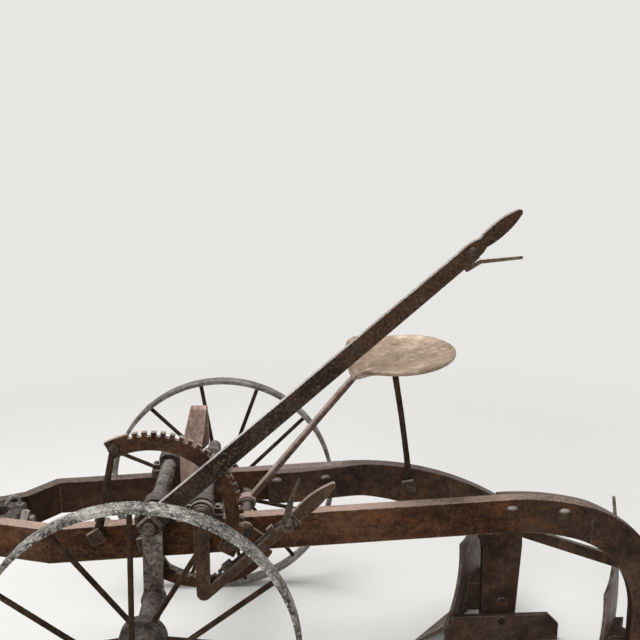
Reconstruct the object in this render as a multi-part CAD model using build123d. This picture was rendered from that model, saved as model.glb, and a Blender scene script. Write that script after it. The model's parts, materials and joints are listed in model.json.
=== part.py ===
from build123d import *
import math
import os

# Scale model of a two-bottom riding gang plow, forged from iron bar and sheet.
# The plow travels towards -X, its land side is -Y and its furrow side is +Y.
# Station x = 0 lies midway between the two wheel axles; every part is written
# in that station frame and save() moves it so that the finished row is centred
# on the origin. Millimetres, ground at z = 0.

# ---- driving dimensions -------------------------------------------------
ORIGIN_X = 87.25            # station of the row's centre
WHEEL_RADIUS = 100.6
WHEEL_PLANE = 124.0         # wheel centre plane, either side of y = 0
AXLE_STAGGER = 16.0         # land axle is this far ahead of x = 0, furrow axle behind
SHAFT_Z = 161.0             # both cross shafts
SHAFT_RADIUS = 5.5
SPINDLE_RADIUS = 5.0

BAR_THICKNESS = 9.0         # beam bars stand on edge
BAR_HEIGHT = 25.0
BAR_RISE = math.tan(math.radians(2.6))
BEAM_TOP = 152.6            # top of both beams at x = 0
LEFT_BEAM_Y = -46.5
RIGHT_BEAM_Y = 31.5
BEAM_FRONT = -165.0

LEVER_ANGLE = 40.7          # both hand levers, above the horizontal
LEVER_LENGTH = 311.6
QUADRANT_RADIUS = 61.0
TOOTH_HEIGHT = 2.9
TOOTH_PITCH = 5.9           # degrees

RUNNING = 0.05              # radial clearance of shafts in their bearings
LOOSE = 0.15                # radial clearance of bolts in their holes

# Layers outside the left beam, from its face outwards
LEFT_FACE = LEFT_BEAM_Y - BAR_THICKNESS / 2          # -51
FURROW_QUADRANT_Y = (LEFT_FACE - 3.0, LEFT_FACE)
FURROW_LEVER_Y = (-57.9, -54.5)
LAND_ARM_Y = (-64.0, -58.6)
QUADRANT_Y = (-63.5, -60.0)
MAIN_LEVER_Y = (-69.5, -65.0)

LAND_X = -AXLE_STAGGER
FURROW_X = AXLE_STAGGER
LAND_WHEEL_X = LAND_X - 1.7     # the cranks lean a little, so the wheels stand further apart
FURROW_WHEEL_X = FURROW_X + 1.8
NUT_SIZE = 10.6             # across the flats of the square nuts
NUT_HEIGHT = 6.0
BOLT_RADIUS = 3.0

os.makedirs("parts", exist_ok=True)


# ---- helpers --------------------------------------------------------------
def save(node, *solids):
    """Write one node, moved from the station frame to the row frame."""
    shape = solids[0] if len(solids) == 1 else Compound(children=list(solids))
    export_step(shape.moved(Location((-ORIGIN_X, 0, 0))), f"parts/{node}.step")


def block(x, y, z):
    """Box from three (low, high) pairs."""
    centre = [(low + high) / 2 for low, high in (x, y, z)]
    return Pos(*centre) * Box(x[1] - x[0], y[1] - y[0], z[1] - z[0])


def rod(start, end, radius, end_radius=None):
    """Round bar, or a cone where end_radius is given."""
    axis = Vector(*end) - Vector(*start)
    plane = Plane(origin=start, z_dir=axis)
    if end_radius is None:
        return plane * Pos(0, 0, axis.length / 2) * Cylinder(radius, axis.length)
    return plane * Pos(0, 0, axis.length / 2) * Cone(radius, end_radius, axis.length)


def rod_y(x, z, y, radius):
    """Round bar along Y between the pair y."""
    return rod((x, y[0], z), (x, y[1], z), radius)


def side_plate(outline, y):
    """Extrude an outline drawn in X and Z through the thickness pair y."""
    plane = Plane(origin=(0, y[1], 0), x_dir=(1, 0, 0), z_dir=(0, -1, 0))
    return extrude(plane * outline, amount=y[1] - y[0])


def plan_plate(outline, z):
    """Extrude an outline drawn in X and Y through the height pair z."""
    return extrude(Pos(0, 0, z[0]) * outline, amount=z[1] - z[0])


def polygon(*points):
    return make_face(Polyline(*points, close=True))


def bar_outline(points, thickness):
    """Mitred outline of a flat bar bent along a line of points."""
    directions = []
    for (x0, y0), (x1, y1) in zip(points, points[1:]):
        length = math.hypot(x1 - x0, y1 - y0)
        directions.append(((x1 - x0) / length, (y1 - y0) / length))
    sides = ([], [])
    for index, (x, y) in enumerate(points):
        before = directions[max(index - 1, 0)]
        after = directions[min(index, len(directions) - 1)]
        mitre = (-(before[1] + after[1]), before[0] + after[0])
        scale = thickness / 2 / (mitre[0] * -after[1] + mitre[1] * after[0])
        sides[0].append((x + mitre[0] * scale, y + mitre[1] * scale))
        sides[1].append((x - mitre[0] * scale, y - mitre[1] * scale))
    return polygon(*sides[0], *reversed(sides[1]))


def edge_path(start, heading, steps):
    """Edges of a path that goes straight ("line", length) or turns clockwise
    ("arc", radius, degrees). Returns the edges and the end point."""
    edges = []
    x, z = start
    for kind, size, *turn in steps:
        angle = math.radians(heading)
        if kind == "line":
            end = (x + size * math.cos(angle), z + size * math.sin(angle))
            edges.append(Line((x, z), end))
        else:
            points = []
            for part in (0.5, 1.0):
                later = math.radians(heading - turn[0] * part)
                points.append((
                    x + size * (math.sin(angle) - math.sin(later)),
                    z + size * (math.cos(later) - math.cos(angle)),
                ))
            edges.append(ThreePointArc((x, z), points[0], points[1]))
            end = points[1]
            heading -= turn[0]
        x, z = end
    return edges, end


def polar(centre, radius, degrees):
    angle = math.radians(degrees)
    return (centre[0] + radius * math.cos(angle), centre[1] + radius * math.sin(angle))


def arc_band(centre, inner, outer, low, high):
    """Flat arc between two angles."""
    middle = (low + high) / 2
    return make_face([
        ThreePointArc(*[polar(centre, outer, a) for a in (low, middle, high)]),
        Line(polar(centre, outer, high), polar(centre, inner, high)),
        ThreePointArc(*[polar(centre, inner, a) for a in (high, middle, low)]),
        Line(polar(centre, inner, low), polar(centre, outer, low)),
    ])


def square_nut(centre, axis, turn=0.0, bore=BOLT_RADIUS, size=NUT_SIZE, height=NUT_HEIGHT):
    """Square nut whose inner face sits at centre, with crowned corners."""
    plane = Plane(origin=centre, z_dir=axis)
    nut = extrude(Rectangle(size, size), amount=height)
    crown = Pos(0, 0, height / 2) * Cone(size * 0.86, size * 0.62, height)
    return plane * Rot(0, 0, turn) * ((nut & crown) - Cylinder(bore, 4 * height))


def dome(centre, axis, radius, height):
    """Rivet head: a ball's cap that stands on centre."""
    ball = (radius ** 2 + height ** 2) / (2 * height)
    cap = Pos(0, 0, height - ball) * Sphere(ball)
    keep = Pos(0, 0, height) * Box(4 * radius, 4 * radius, 2 * height)
    return Plane(origin=centre, z_dir=axis) * (cap & keep)


def rivet_y(x, z, y, shank, head, head_height):
    """Rivet along Y with a domed head outside each face of the pair y."""
    body = rod_y(x, z, y, shank)
    near = dome((x, y[0], z), (0, -1, 0), head, head_height)
    far = dome((x, y[1], z), (0, 1, 0), head, head_height)
    return body + near + far


def bolt_y(x, z, y, nut_side, radius=BOLT_RADIUS, head_height=3.2, tail=8.0, turn=0.0):
    """Bolt along Y: a square head at one face, a thread standing past the other."""
    head_side = -nut_side
    face = y[0] if head_side < 0 else y[1]
    end = (y[1] if nut_side > 0 else y[0]) + nut_side * tail
    size = 3.2 * radius
    plane = Plane(origin=(x, face, z), z_dir=(0, head_side, 0))
    head = plane * Rot(0, 0, turn) * extrude(Rectangle(size, size), amount=head_height)
    return rod_y(x, z, tuple(sorted((face, end))), radius) + head


def beam_top(x):
    return BEAM_TOP + BAR_RISE * x


# ---- beams and standards ---------------------------------------------------
LEFT_SEAM = 288.0           # stations where the beams end and the standards take over
RIGHT_SEAM = 118.0
STANDARD_FOOT_Z = 14.0
LEFT_RIVETS = ((230.3, 153.2), (267.6, 150.2))
RIGHT_RIVETS = ((66.6, 147.2), (104.0, 147.4))


def goose_neck(outer_start, outer_steps, inner_start, inner_steps):
    """Side outline of a whole beam: level bar in front, goose-neck and leg behind."""
    slope = math.degrees(math.atan(BAR_RISE))
    front = [(BEAM_FRONT, beam_top(BEAM_FRONT)), (BEAM_FRONT, beam_top(BEAM_FRONT) - BAR_HEIGHT)]
    outer_point = (outer_start, beam_top(outer_start))
    inner_point = (inner_start, beam_top(inner_start) - BAR_HEIGHT)
    outer, outer_end = edge_path(outer_point, slope, outer_steps)
    inner, inner_end = edge_path(inner_point, slope, inner_steps)
    outer_foot = (outer_end[0] - 3.0, STANDARD_FOOT_Z)
    inner_foot = (inner_end[0] + 1.0, STANDARD_FOOT_Z)
    return make_face([
        Line(front[0], outer_point), *outer, Line(outer_end, outer_foot),
        Line(outer_foot, inner_foot), Line(inner_foot, inner_end), *inner,
        Line(inner_point, front[1]), Line(front[1], front[0]),
    ])


LEFT_PROFILE = goose_neck(
    225.0, (("arc", 190.0, 17.6), ("arc", 90.0, 75.0)),
    225.0, (("arc", 165.0, 17.6), ("arc", 65.0, 75.0)),
)
RIGHT_PROFILE = goose_neck(
    120.0, (("arc", 220.0, 32.6), ("arc", 50.0, 60.0)),
    112.0, (("arc", 150.0, 18.6), ("arc", 260.0, 14.0), ("arc", 30.0, 60.0)),
)
LEFT_PLAN = ((BEAM_FRONT, -32.0), (-126.0, -32.0), (-88.0, LEFT_BEAM_Y), (LEFT_SEAM, LEFT_BEAM_Y))
RIGHT_PLAN = (
    (BEAM_FRONT, 5.0), (-137.0, 5.0), (-121.0, 11.0),
    (-103.0, RIGHT_BEAM_Y), (RIGHT_SEAM, RIGHT_BEAM_Y),
)
SEAT_ROD = (45.0, 146.0)
SEAT_ROD_RADIUS = 3.5
HITCH_BOLTS = ((-158.0, 127.5), (-144.5, 128.0))
FOOT_REST_BOLT = (0.0, 141.0)
STRUT_FOOT = (170.0, 141.0)
QUADRANT_SPACER = (35.0, 140.4)
STAY_FOOT = (-55.0, 145.0)
FURROW_QUADRANT_BOLT = (-23.0, 139.0)
BEARING_HALF = 13.8         # half the length of a bearing's foot
BEARING_BOLT = 10.4         # bolt spacing from the shaft's centre
BEARING_BOLT_RADIUS = 1.6
STUD_DEPTH = 7.0            # bearing studs end blind in the beams
PLOW_BOLT_RADIUS = 2.0


def holes_y(places, radius):
    return [rod_y(x, z, (-100, 100), radius) for x, z in places]


def bearing_holes(beam_y):
    """Vertical bolt holes for the two bearings on a beam."""
    holes = []
    for shaft_x in (LAND_X, FURROW_X):
        for side in (-1, 1):
            x = shaft_x + side * BEARING_BOLT
            bottom = beam_top(x) - STUD_DEPTH - 0.5
            holes.append(rod((x, beam_y, bottom), (x, beam_y, 180), BEARING_BOLT_RADIUS + LOOSE))
    return holes


def beam(profile, plan):
    side = side_plate(profile, (-100, 100))
    top = plan_plate(bar_outline(plan, BAR_THICKNESS), (0, 200))
    return side & top


def standard(profile, beam_y, seam, lap):
    """Goose-neck bar in line with its beam, set over to lap the beam's inner face."""
    bar_y = (beam_y - BAR_THICKNESS / 2, beam_y + BAR_THICKNESS / 2)
    in_line = side_plate(profile, bar_y) & block((seam + 0.3, 500), (-200, 200), (0, 200))
    lapped = side_plate(profile, (-100, 100)) & plan_plate(polygon(*lap), (0, 200))
    return in_line + lapped


left_inner = LEFT_BEAM_Y + BAR_THICKNESS / 2
right_inner = RIGHT_BEAM_Y - BAR_THICKNESS / 2
LEFT_LAP = ((222.0, left_inner), (222.0, left_inner + 4.5), (286.0, left_inner + 4.0), (304.0, left_inner))
RIGHT_LAP = (
    (60.0, right_inner), (60.0, right_inner - 8.5), (90.0, right_inner - 7.5),
    (118.0, right_inner - 3.5), (134.0, right_inner),
)

left_beam = beam(LEFT_PROFILE, LEFT_PLAN)
left_beam -= holes_y(LEFT_RIVETS, 3.0)
left_beam -= holes_y((SEAT_ROD,), SEAT_ROD_RADIUS)
left_beam -= holes_y(HITCH_BOLTS, BOLT_RADIUS + LOOSE)
left_beam -= holes_y((QUADRANT_SPACER, STAY_FOOT, FURROW_QUADRANT_BOLT), BOLT_RADIUS + LOOSE)
left_beam -= bearing_holes(LEFT_BEAM_Y)

right_beam = beam(RIGHT_PROFILE, RIGHT_PLAN)
right_beam -= holes_y(RIGHT_RIVETS, 3.0)
right_beam -= holes_y(HITCH_BOLTS, BOLT_RADIUS + LOOSE)
right_beam -= holes_y([FOOT_REST_BOLT], PLOW_BOLT_RADIUS + LOOSE)
right_beam -= bearing_holes(RIGHT_BEAM_Y)

FRONT_LEG_X = 250.0         # middle of each standard's leg
REAR_LEG_X = 337.0
LEG_BOLTS_Z = (19.5, 35.0)
FRONT_BRACE = (240.0, 104.0)
REAR_BRACE = (331.5, 104.0)

left_standard = standard(LEFT_PROFILE, LEFT_BEAM_Y, LEFT_SEAM, LEFT_LAP)
left_standard -= holes_y(LEFT_RIVETS, 3.0)
left_standard -= holes_y([(REAR_LEG_X, z) for z in LEG_BOLTS_Z], PLOW_BOLT_RADIUS + LOOSE)
left_standard -= holes_y([REAR_BRACE], BOLT_RADIUS + LOOSE)

right_standard = standard(RIGHT_PROFILE, RIGHT_BEAM_Y, RIGHT_SEAM, RIGHT_LAP)
right_standard -= holes_y(RIGHT_RIVETS, 3.0)
right_standard -= holes_y([STRUT_FOOT], BOLT_RADIUS + LOOSE)
right_standard -= holes_y([(FRONT_LEG_X, z) for z in LEG_BOLTS_Z], PLOW_BOLT_RADIUS + LOOSE)
right_standard -= holes_y([FRONT_BRACE], BOLT_RADIUS + LOOSE)

save("left_beam", left_beam)
save("right_beam", right_beam)
save("left_standard", left_standard)
save("right_standard", right_standard)


# ---- fasteners of the frame --------------------------------------------------
HEAD_RADIUS = 5.4


def lap_depth(lap, x):
    """How far a lap's inner edge stands off the beam's inner face at station x."""
    near, far = [(p, q) for p, q in zip(lap[1:], lap[2:]) if p[0] <= x <= q[0]][0]
    share = (x - near[0]) / (far[0] - near[0])
    return near[1] + share * (far[1] - near[1])


beam_rivets = []
for x, z in LEFT_RIVETS:
    beam_rivets.append(rivet_y(x, z, (LEFT_FACE, lap_depth(LEFT_LAP, x) - 0.1), 3.0, HEAD_RADIUS, 3.0))
for x, z in RIGHT_RIVETS:
    faces = (lap_depth(RIGHT_LAP, x) + 0.2, RIGHT_BEAM_Y + BAR_THICKNESS / 2)
    beam_rivets.append(rivet_y(x, z, faces, 3.0, HEAD_RADIUS, 3.0))
for index, rivet in enumerate(beam_rivets):
    lapped = (left_standard, left_standard, right_standard, right_standard)[index]
    beam_rivets[index] = sorted((rivet - lapped).solids(), key=lambda solid: solid.volume)[-1]
save("beam_rivets", *beam_rivets)


# ---- hitch ---------------------------------------------------------------------
HITCH_Y = (-27.5, 0.5)
HITCH_MIDDLE = sum(HITCH_Y) / 2
HITCH_X = (-162.5, -118.0)
DRAW_Z = 138.0
DRAW_RADIUS = 3.5
EYE_X = -177.0
EYE_RADIUS = 7.5
HOOK_PIN = (-121.3, -5.6)
HOOK_PIN_RADIUS = 1.4


def make_hitch_block():
    """Casting between the two beam noses, with an oval slot down through it."""
    body = block(HITCH_X, HITCH_Y, (123.5, 145.5))
    body = chamfer(body.edges().filter_by(Axis.Y), 1.5)
    slot = Pos(-132.0, HITCH_MIDDLE, 100) * extrude(Rot(0, 0, 90) * SlotOverall(16.0, 11.0), amount=80)
    body -= slot
    body -= rod((-200, HITCH_MIDDLE, DRAW_Z), (-100, HITCH_MIDDLE, DRAW_Z), DRAW_RADIUS + LOOSE)
    body -= rod((*HOOK_PIN, 100), (*HOOK_PIN, 200), HOOK_PIN_RADIUS + 0.1)
    return body - holes_y(HITCH_BOLTS, BOLT_RADIUS + LOOSE)


def make_draw_bolt():
    """Draw bolt along the centre, flattened in front into an eye for the clevis."""
    shank = rod((EYE_X, HITCH_MIDDLE, DRAW_Z), (-109.0, HITCH_MIDDLE, DRAW_Z), DRAW_RADIUS)
    shoulder = rod((-168.0, HITCH_MIDDLE, DRAW_Z), (HITCH_X[0], HITCH_MIDDLE, DRAW_Z), 5.5)
    eye = Pos(EYE_X, HITCH_MIDDLE, DRAW_Z) * Cylinder(EYE_RADIUS, 8.0)
    hole = Pos(EYE_X, HITCH_MIDDLE, DRAW_Z) * Cylinder(CLEVIS_PIN_RADIUS + RUNNING, 40.0)
    return shank + shoulder + eye - hole


CLEVIS_PIN_RADIUS = 3.0
CLEVIS_WIDTH = 11.0
CLEVIS_NOSE_X = -204.0
CLEVIS_EAR_Z = (4.4, 8.4)   # above and below the draw bolt
EVENER_RADIUS = 3.2


def make_draft_clevis():
    """Forged clevis: two ears over the eye and a solid nose drilled for the evener."""
    half = CLEVIS_WIDTH / 2
    plan = (
        Pos((EYE_X + CLEVIS_NOSE_X) / 2, HITCH_MIDDLE)
        * Rectangle(EYE_X - CLEVIS_NOSE_X, CLEVIS_WIDTH)
        + Pos(EYE_X, HITCH_MIDDLE) * Circle(half)
        + Pos(CLEVIS_NOSE_X, HITCH_MIDDLE) * Circle(half + 1.0)
    )
    low, high = CLEVIS_EAR_Z
    body = plan_plate(plan, (DRAW_Z - high, DRAW_Z + high))
    body -= block((CLEVIS_NOSE_X + 7.5, 0), (-60, 60), (DRAW_Z - low, DRAW_Z + low))
    body -= Pos(EYE_X, HITCH_MIDDLE, DRAW_Z) * Cylinder(CLEVIS_PIN_RADIUS + RUNNING, 60)
    return body - Pos(CLEVIS_NOSE_X, HITCH_MIDDLE, DRAW_Z) * Cylinder(EVENER_RADIUS, 60)


def make_clevis_pin():
    top = DRAW_Z + CLEVIS_EAR_Z[1]
    bottom = DRAW_Z - CLEVIS_EAR_Z[1]
    pin = rod((EYE_X, HITCH_MIDDLE, bottom - 1.5), (EYE_X, HITCH_MIDDLE, top), CLEVIS_PIN_RADIUS)
    head = dome((EYE_X, HITCH_MIDDLE, top), (0, 0, 1), 5.0, 2.6)
    tail = rod((EYE_X, HITCH_MIDDLE, bottom - 1.5), (EYE_X, HITCH_MIDDLE, bottom), 4.4)
    return pin + head + tail


def make_hook_pin():
    """Drop pin with its top bent over forwards into a finger hook."""
    x, y = HOOK_PIN
    radius = HOOK_PIN_RADIUS
    path = Polyline((x, y, 127.0), (x, y, 152.0), (x - 4.0, y - 3.0, 154.5), (x - 8.0, y - 6.5, 149.0))
    pin = sweep(Pos(x, y, 127.0) * Circle(radius), path=path, transition=Transition.ROUND)
    collar = rod((x, y, 145.5), (x, y, 147.0), 2.6)
    return pin + collar


save("hitch_block", make_hitch_block())
save("draw_bolt", make_draw_bolt())
save("draft_clevis", make_draft_clevis())
save("clevis_pin", make_clevis_pin())
save("hook_pin", make_hook_pin())

nose_y = (-36.5, 9.5)
save("hitch_bolts", *[bolt_y(x, z, nose_y, nut_side=1, turn=20) for x, z in HITCH_BOLTS])


# ---- rod for the seat strut, frame nuts ----------------------------------------------
SEAT_Y = -8.0               # middle of the seat, over the rod's free end
EYE_HALF = 4.0


def make_seat_rod():
    """Rod from the left beam's outside in to a shoulder, the strut's eye and a nut."""
    head_y = FURROW_QUADRANT_Y[0]
    nut_y = SEAT_Y + EYE_HALF
    body = rod_y(*SEAT_ROD, (head_y, nut_y + 8.0), SEAT_ROD_RADIUS)
    body += dome((SEAT_ROD[0], head_y, SEAT_ROD[1]), (0, -1, 0), HEAD_RADIUS, 2.6)
    body += rod_y(*SEAT_ROD, (SEAT_Y - EYE_HALF - 3.0, SEAT_Y - EYE_HALF), 4.8)
    return body + square_nut((SEAT_ROD[0], nut_y, SEAT_ROD[1]), (0, 1, 0), turn=24, bore=2.0)


save("seat_rod", make_seat_rod())

frame_nuts = []
for index, (x, z) in enumerate(HITCH_BOLTS):
    frame_nuts.append(square_nut((x, nose_y[1], z), (0, 1, 0), turn=12 - 4 * index))
frame_nuts.append(square_nut((HITCH_X[1], HITCH_MIDDLE, DRAW_Z), (1, 0, 0), turn=28, bore=DRAW_RADIUS))
save("frame_nuts", *frame_nuts)


# ---- bearings ---------------------------------------------------------------------
BEARING_WIDTH = 11.0
HOUSING_RADIUS = 9.2
LUG_TOP = 157.0
BEARING_NUT = 5.8           # across the flats


def make_bearing(shaft_x, beam_y, profile):
    """Rounded pillow bearing whose foot follows the slope of the beam's top."""
    outline = Pos(shaft_x, (148 + LUG_TOP) / 2) * Rectangle(2 * BEARING_HALF, LUG_TOP - 148)
    outline += Pos(shaft_x, SHAFT_Z) * Circle(HOUSING_RADIUS)
    y = (beam_y - BEARING_WIDTH / 2, beam_y + BEARING_WIDTH / 2)
    body = side_plate(outline, y) - side_plate(profile, (-100, 100))
    body -= rod_y(shaft_x, SHAFT_Z, (-100, 100), SHAFT_RADIUS + RUNNING)
    below = block((shaft_x - 30, shaft_x + 30), (-100, 100), (100, beam_top(shaft_x - BEARING_HALF)))
    body -= below
    for side in (-1, 1):
        x = shaft_x + side * BEARING_BOLT
        body -= rod((x, beam_y, 100), (x, beam_y, 200), BEARING_BOLT_RADIUS + LOOSE)
        body -= Pos(x, beam_y, LUG_TOP + 15) * Box(BEARING_NUT + 0.5, 40, 30)
    return body


def make_bearing_bolt(x, beam_y):
    """Stud in the beam's top with a square nut on the bearing's lug."""
    stud = rod((x, beam_y, beam_top(x) - STUD_DEPTH), (x, beam_y, LUG_TOP + 5.6), BEARING_BOLT_RADIUS)
    nut = square_nut((x, beam_y, LUG_TOP), (0, 0, 1), bore=1.0, size=BEARING_NUT, height=3.8)
    return stud + nut


bearing_bolts = []
for side_name, beam_y, profile in (
    ("left", LEFT_BEAM_Y, LEFT_PROFILE), ("right", RIGHT_BEAM_Y, RIGHT_PROFILE),
):
    for axle_name, shaft_x in (("land", LAND_X), ("furrow", FURROW_X)):
        save(f"{axle_name}_bearing_{side_name}", make_bearing(shaft_x, beam_y, profile))
        for side in (-1, 1):
            bearing_bolts.append(make_bearing_bolt(shaft_x + side * BEARING_BOLT, beam_y))
save("bearing_bolts", *bearing_bolts)


# ---- wheels -------------------------------------------------------------------------
RIM_WIDTH = 11.0
RIM_OUTER = 99.6            # the spoke rivets stand out to the wheel radius
RIM_INNER = 96.4
SPOKE_COUNT = 12
LAND_SPOKE_TURN = -0.3      # first spoke from the vertical, degrees
FURROW_SPOKE_TURN = -10.5
SPOKE_RADIUS = 1.7
HUB_HALF = 23.0
FLANGE_OFFSET = 18.0        # spokes run in turn to the two flanges
FLANGE_RADIUS = 15.0
LINCHPIN_RADIUS = 1.3
LINCHPIN_GAP = 3.2


def make_wheel(prefix, x, plane_y, turn):
    """Rim, riveted spokes and flanged hub; turn is the first spoke's angle from +Z."""
    upright = Pos(x, plane_y, WHEEL_RADIUS) * Rot(90, 0, 0)
    rim = upright * (Cylinder(RIM_OUTER, RIM_WIDTH) - Cylinder(RIM_INNER, 2 * RIM_WIDTH))
    hub = Cylinder(9.5, 2 * HUB_HALF - 4) + Cylinder(8.0, 2 * HUB_HALF)
    for side in (-1, 1):
        hub += Pos(0, 0, side * FLANGE_OFFSET) * Cylinder(FLANGE_RADIUS, 6.0)
    hub = upright * (hub - Cylinder(SPINDLE_RADIUS + RUNNING, 80))
    spokes = []
    for index in range(SPOKE_COUNT):
        angle = math.radians(turn + index * 360 / SPOKE_COUNT)
        outward = (math.sin(angle), 0, math.cos(angle))
        flange_y = plane_y + FLANGE_OFFSET * (1 if index % 2 else -1)
        inner = (x + 10.5 * outward[0], flange_y, WHEEL_RADIUS + 10.5 * outward[2])
        outer = (x + RIM_OUTER * outward[0], plane_y, WHEEL_RADIUS + RIM_OUTER * outward[2])
        shank = rod(inner, outer, SPOKE_RADIUS)
        rim -= shank
        hub -= shank
        spokes.append(shank + dome(outer, outward, 2.7, WHEEL_RADIUS - RIM_OUTER + 0.2))
    keep = upright * Cylinder(WHEEL_RADIUS, 80)
    save(f"{prefix}_wheel_rim", rim)
    save(f"{prefix}_wheel_spokes", *[spoke & keep for spoke in spokes])
    save(f"{prefix}_wheel_hub", hub)


def make_spindle(x, y_from, side):
    """Axle stub outwards from a crank arm, with a hole for its linchpin."""
    hub_inner = side * (WHEEL_PLANE - HUB_HALF - 0.5)
    end = side * (WHEEL_PLANE + HUB_HALF + 7.0)
    pin_y = side * (WHEEL_PLANE + HUB_HALF + LINCHPIN_GAP)
    stub = rod_y(x, WHEEL_RADIUS, tuple(sorted((y_from, end))), SPINDLE_RADIUS)
    stub += rod_y(x, WHEEL_RADIUS, tuple(sorted((y_from, hub_inner))), 7.0)
    return stub - rod((x, pin_y, 80), (x, pin_y, 120), LINCHPIN_RADIUS)


def make_linchpin(x, side):
    """Pin through the spindle's end, its top rolled into a ring."""
    pin_y = side * (WHEEL_PLANE + HUB_HALF + LINCHPIN_GAP)
    pin = rod((x, pin_y, WHEEL_RADIUS - 9), (x, pin_y, WHEEL_RADIUS + 11.5), LINCHPIN_RADIUS)
    ring = Pos(x, pin_y, WHEEL_RADIUS + 14.5) * Rot(0, 90, 0) * Torus(3.6, 1.2)
    return pin + ring


make_wheel("land", LAND_WHEEL_X, -WHEEL_PLANE, LAND_SPOKE_TURN)
make_wheel("furrow", FURROW_WHEEL_X, WHEEL_PLANE, FURROW_SPOKE_TURN)
save("land_wheel_linchpin", make_linchpin(LAND_WHEEL_X, -1))
save("furrow_wheel_linchpin", make_linchpin(FURROW_WHEEL_X, 1))


# ---- crank axles ----------------------------------------------------------------------
def flat_arm(shaft_x, wheel_x, y):
    """Flat arm that hangs from a cross shaft down to a wheel spindle."""
    top, foot = (shaft_x, SHAFT_Z), (wheel_x, WHEEL_RADIUS)
    outline = bar_outline((top, foot), 13.0) + Pos(*top) * Circle(9.0) + Pos(*foot) * Circle(8.5)
    return side_plate(outline, y)


def round_arm(shaft_x, wheel_x, y, radius):
    """Arm of the same round bar as its shaft, with rounded elbows."""
    arm = rod((shaft_x, y, SHAFT_Z), (wheel_x, y, WHEEL_RADIUS), radius)
    return arm + Pos(shaft_x, y, SHAFT_Z) * Sphere(radius) + Pos(wheel_x, y, WHEEL_RADIUS) * Sphere(radius)


LEVER_SQUARE = 8.0
LEVER_THREAD = 3.8
COLLAR_Y = (37.6, 45.0)
land_crank_axle = (
    rod_y(LAND_X, SHAFT_Z, (LAND_ARM_Y[0], 47.5), SHAFT_RADIUS)
    + rod((LAND_X, -27.0, SHAFT_Z), (LAND_X, -40.6, SHAFT_Z), SHAFT_RADIUS, 8.6)
    + flat_arm(LAND_X, LAND_WHEEL_X, LAND_ARM_Y)
    + block(
        (LAND_X - LEVER_SQUARE / 2, LAND_X + LEVER_SQUARE / 2), (MAIN_LEVER_Y[0], LAND_ARM_Y[0]),
        (SHAFT_Z - LEVER_SQUARE / 2, SHAFT_Z + LEVER_SQUARE / 2),
    )
    + rod_y(LAND_X, SHAFT_Z, (-78.5, MAIN_LEVER_Y[0]), LEVER_THREAD)
    + make_spindle(LAND_WHEEL_X, LAND_ARM_Y[0], -1)
)
save("land_crank_axle", land_crank_axle)
collar = rod_y(LAND_X, SHAFT_Z, COLLAR_Y, 9.5) - rod_y(LAND_X, SHAFT_Z, (0, 60), SHAFT_RADIUS)
collar_screw = rod((LAND_X, 41.3, SHAFT_Z + 5.6), (LAND_X, 41.3, SHAFT_Z + 12.0), 1.9)
save("land_axle_collar", collar + collar_screw)

FURROW_ARM_Y = 64.0
FURROW_ARM_RADIUS = 5.0
FURROW_SQUARE = 7.0
furrow_crank_axle = (
    rod_y(FURROW_X, SHAFT_Z, (-54.2, 57.0), SHAFT_RADIUS)
    + rod_y(FURROW_X, SHAFT_Z, (57.0, FURROW_ARM_Y), FURROW_ARM_RADIUS)
    + rod_y(FURROW_X, SHAFT_Z, (37.4, 41.5), 7.0)
    + round_arm(FURROW_X, FURROW_WHEEL_X, FURROW_ARM_Y, FURROW_ARM_RADIUS)
    + block(
        (FURROW_X - FURROW_SQUARE / 2, FURROW_X + FURROW_SQUARE / 2), (FURROW_LEVER_Y[0], -54.2),
        (SHAFT_Z - FURROW_SQUARE / 2, SHAFT_Z + FURROW_SQUARE / 2),
    )
    + rod_y(FURROW_X, SHAFT_Z, (-62.0, FURROW_LEVER_Y[0]), 3.0)
    + make_spindle(FURROW_WHEEL_X, FURROW_ARM_Y, 1)
)
save("furrow_crank_axle", furrow_crank_axle)


# ---- main lever, its latch and quadrant --------------------------------------------------
LAND_SHAFT = (LAND_X, SHAFT_Z)
FURROW_SHAFT = (FURROW_X, SHAFT_Z)
NECK = 281.0                # along the lever from the shaft
LEVER_RIVETS = (58.2, 90.6, 177.5)
TRIGGER_PIVOT = (272.5, 0.2)
LATCH_LINE = -4.6           # the latch rod runs this far below the lever's centre line
LATCH_ROD_RADIUS = 1.25
ROD_Y = -63.5
GUIDES = LEVER_RIVETS[1:]
TRIGGER_Y = (-61.9, -59.6)
HOOK_AT = (271.0, LATCH_LINE)    # where the rod's end hooks into the trigger
TRIGGER_HOLE = 1.9          # wide enough for the rod's end to swing in
PAWL_REST = 0.4             # the pawls are stored just clear of the teeth
ROD_START = 74.0            # the latch rod's lower end, along the lever
PAWL_END = 80.0
ROD_PLAY = 0.1
GUIDE_Y = (MAIN_LEVER_Y[1], -61.4)


def along(origin, angle, u, v):
    """Point u along a line at an angle from origin, and v square to it."""
    a = math.radians(angle)
    return (origin[0] + u * math.cos(a) - v * math.sin(a), origin[1] + u * math.sin(a) + v * math.cos(a))


def tilted(outline, origin, angle):
    """Outline drawn along its own X, moved to a line in the X and Z plane."""
    return Pos(*origin) * Rot(0, 0, angle) * outline


def tilted_rod(origin, angle, line, y, stretch, radius):
    """Round bar beside a lever, along its length between the pair stretch."""
    low = along(origin, angle, stretch[0], line)
    high = along(origin, angle, stretch[1], line)
    return rod((low[0], y, low[1]), (high[0], y, high[1]), radius)


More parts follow.
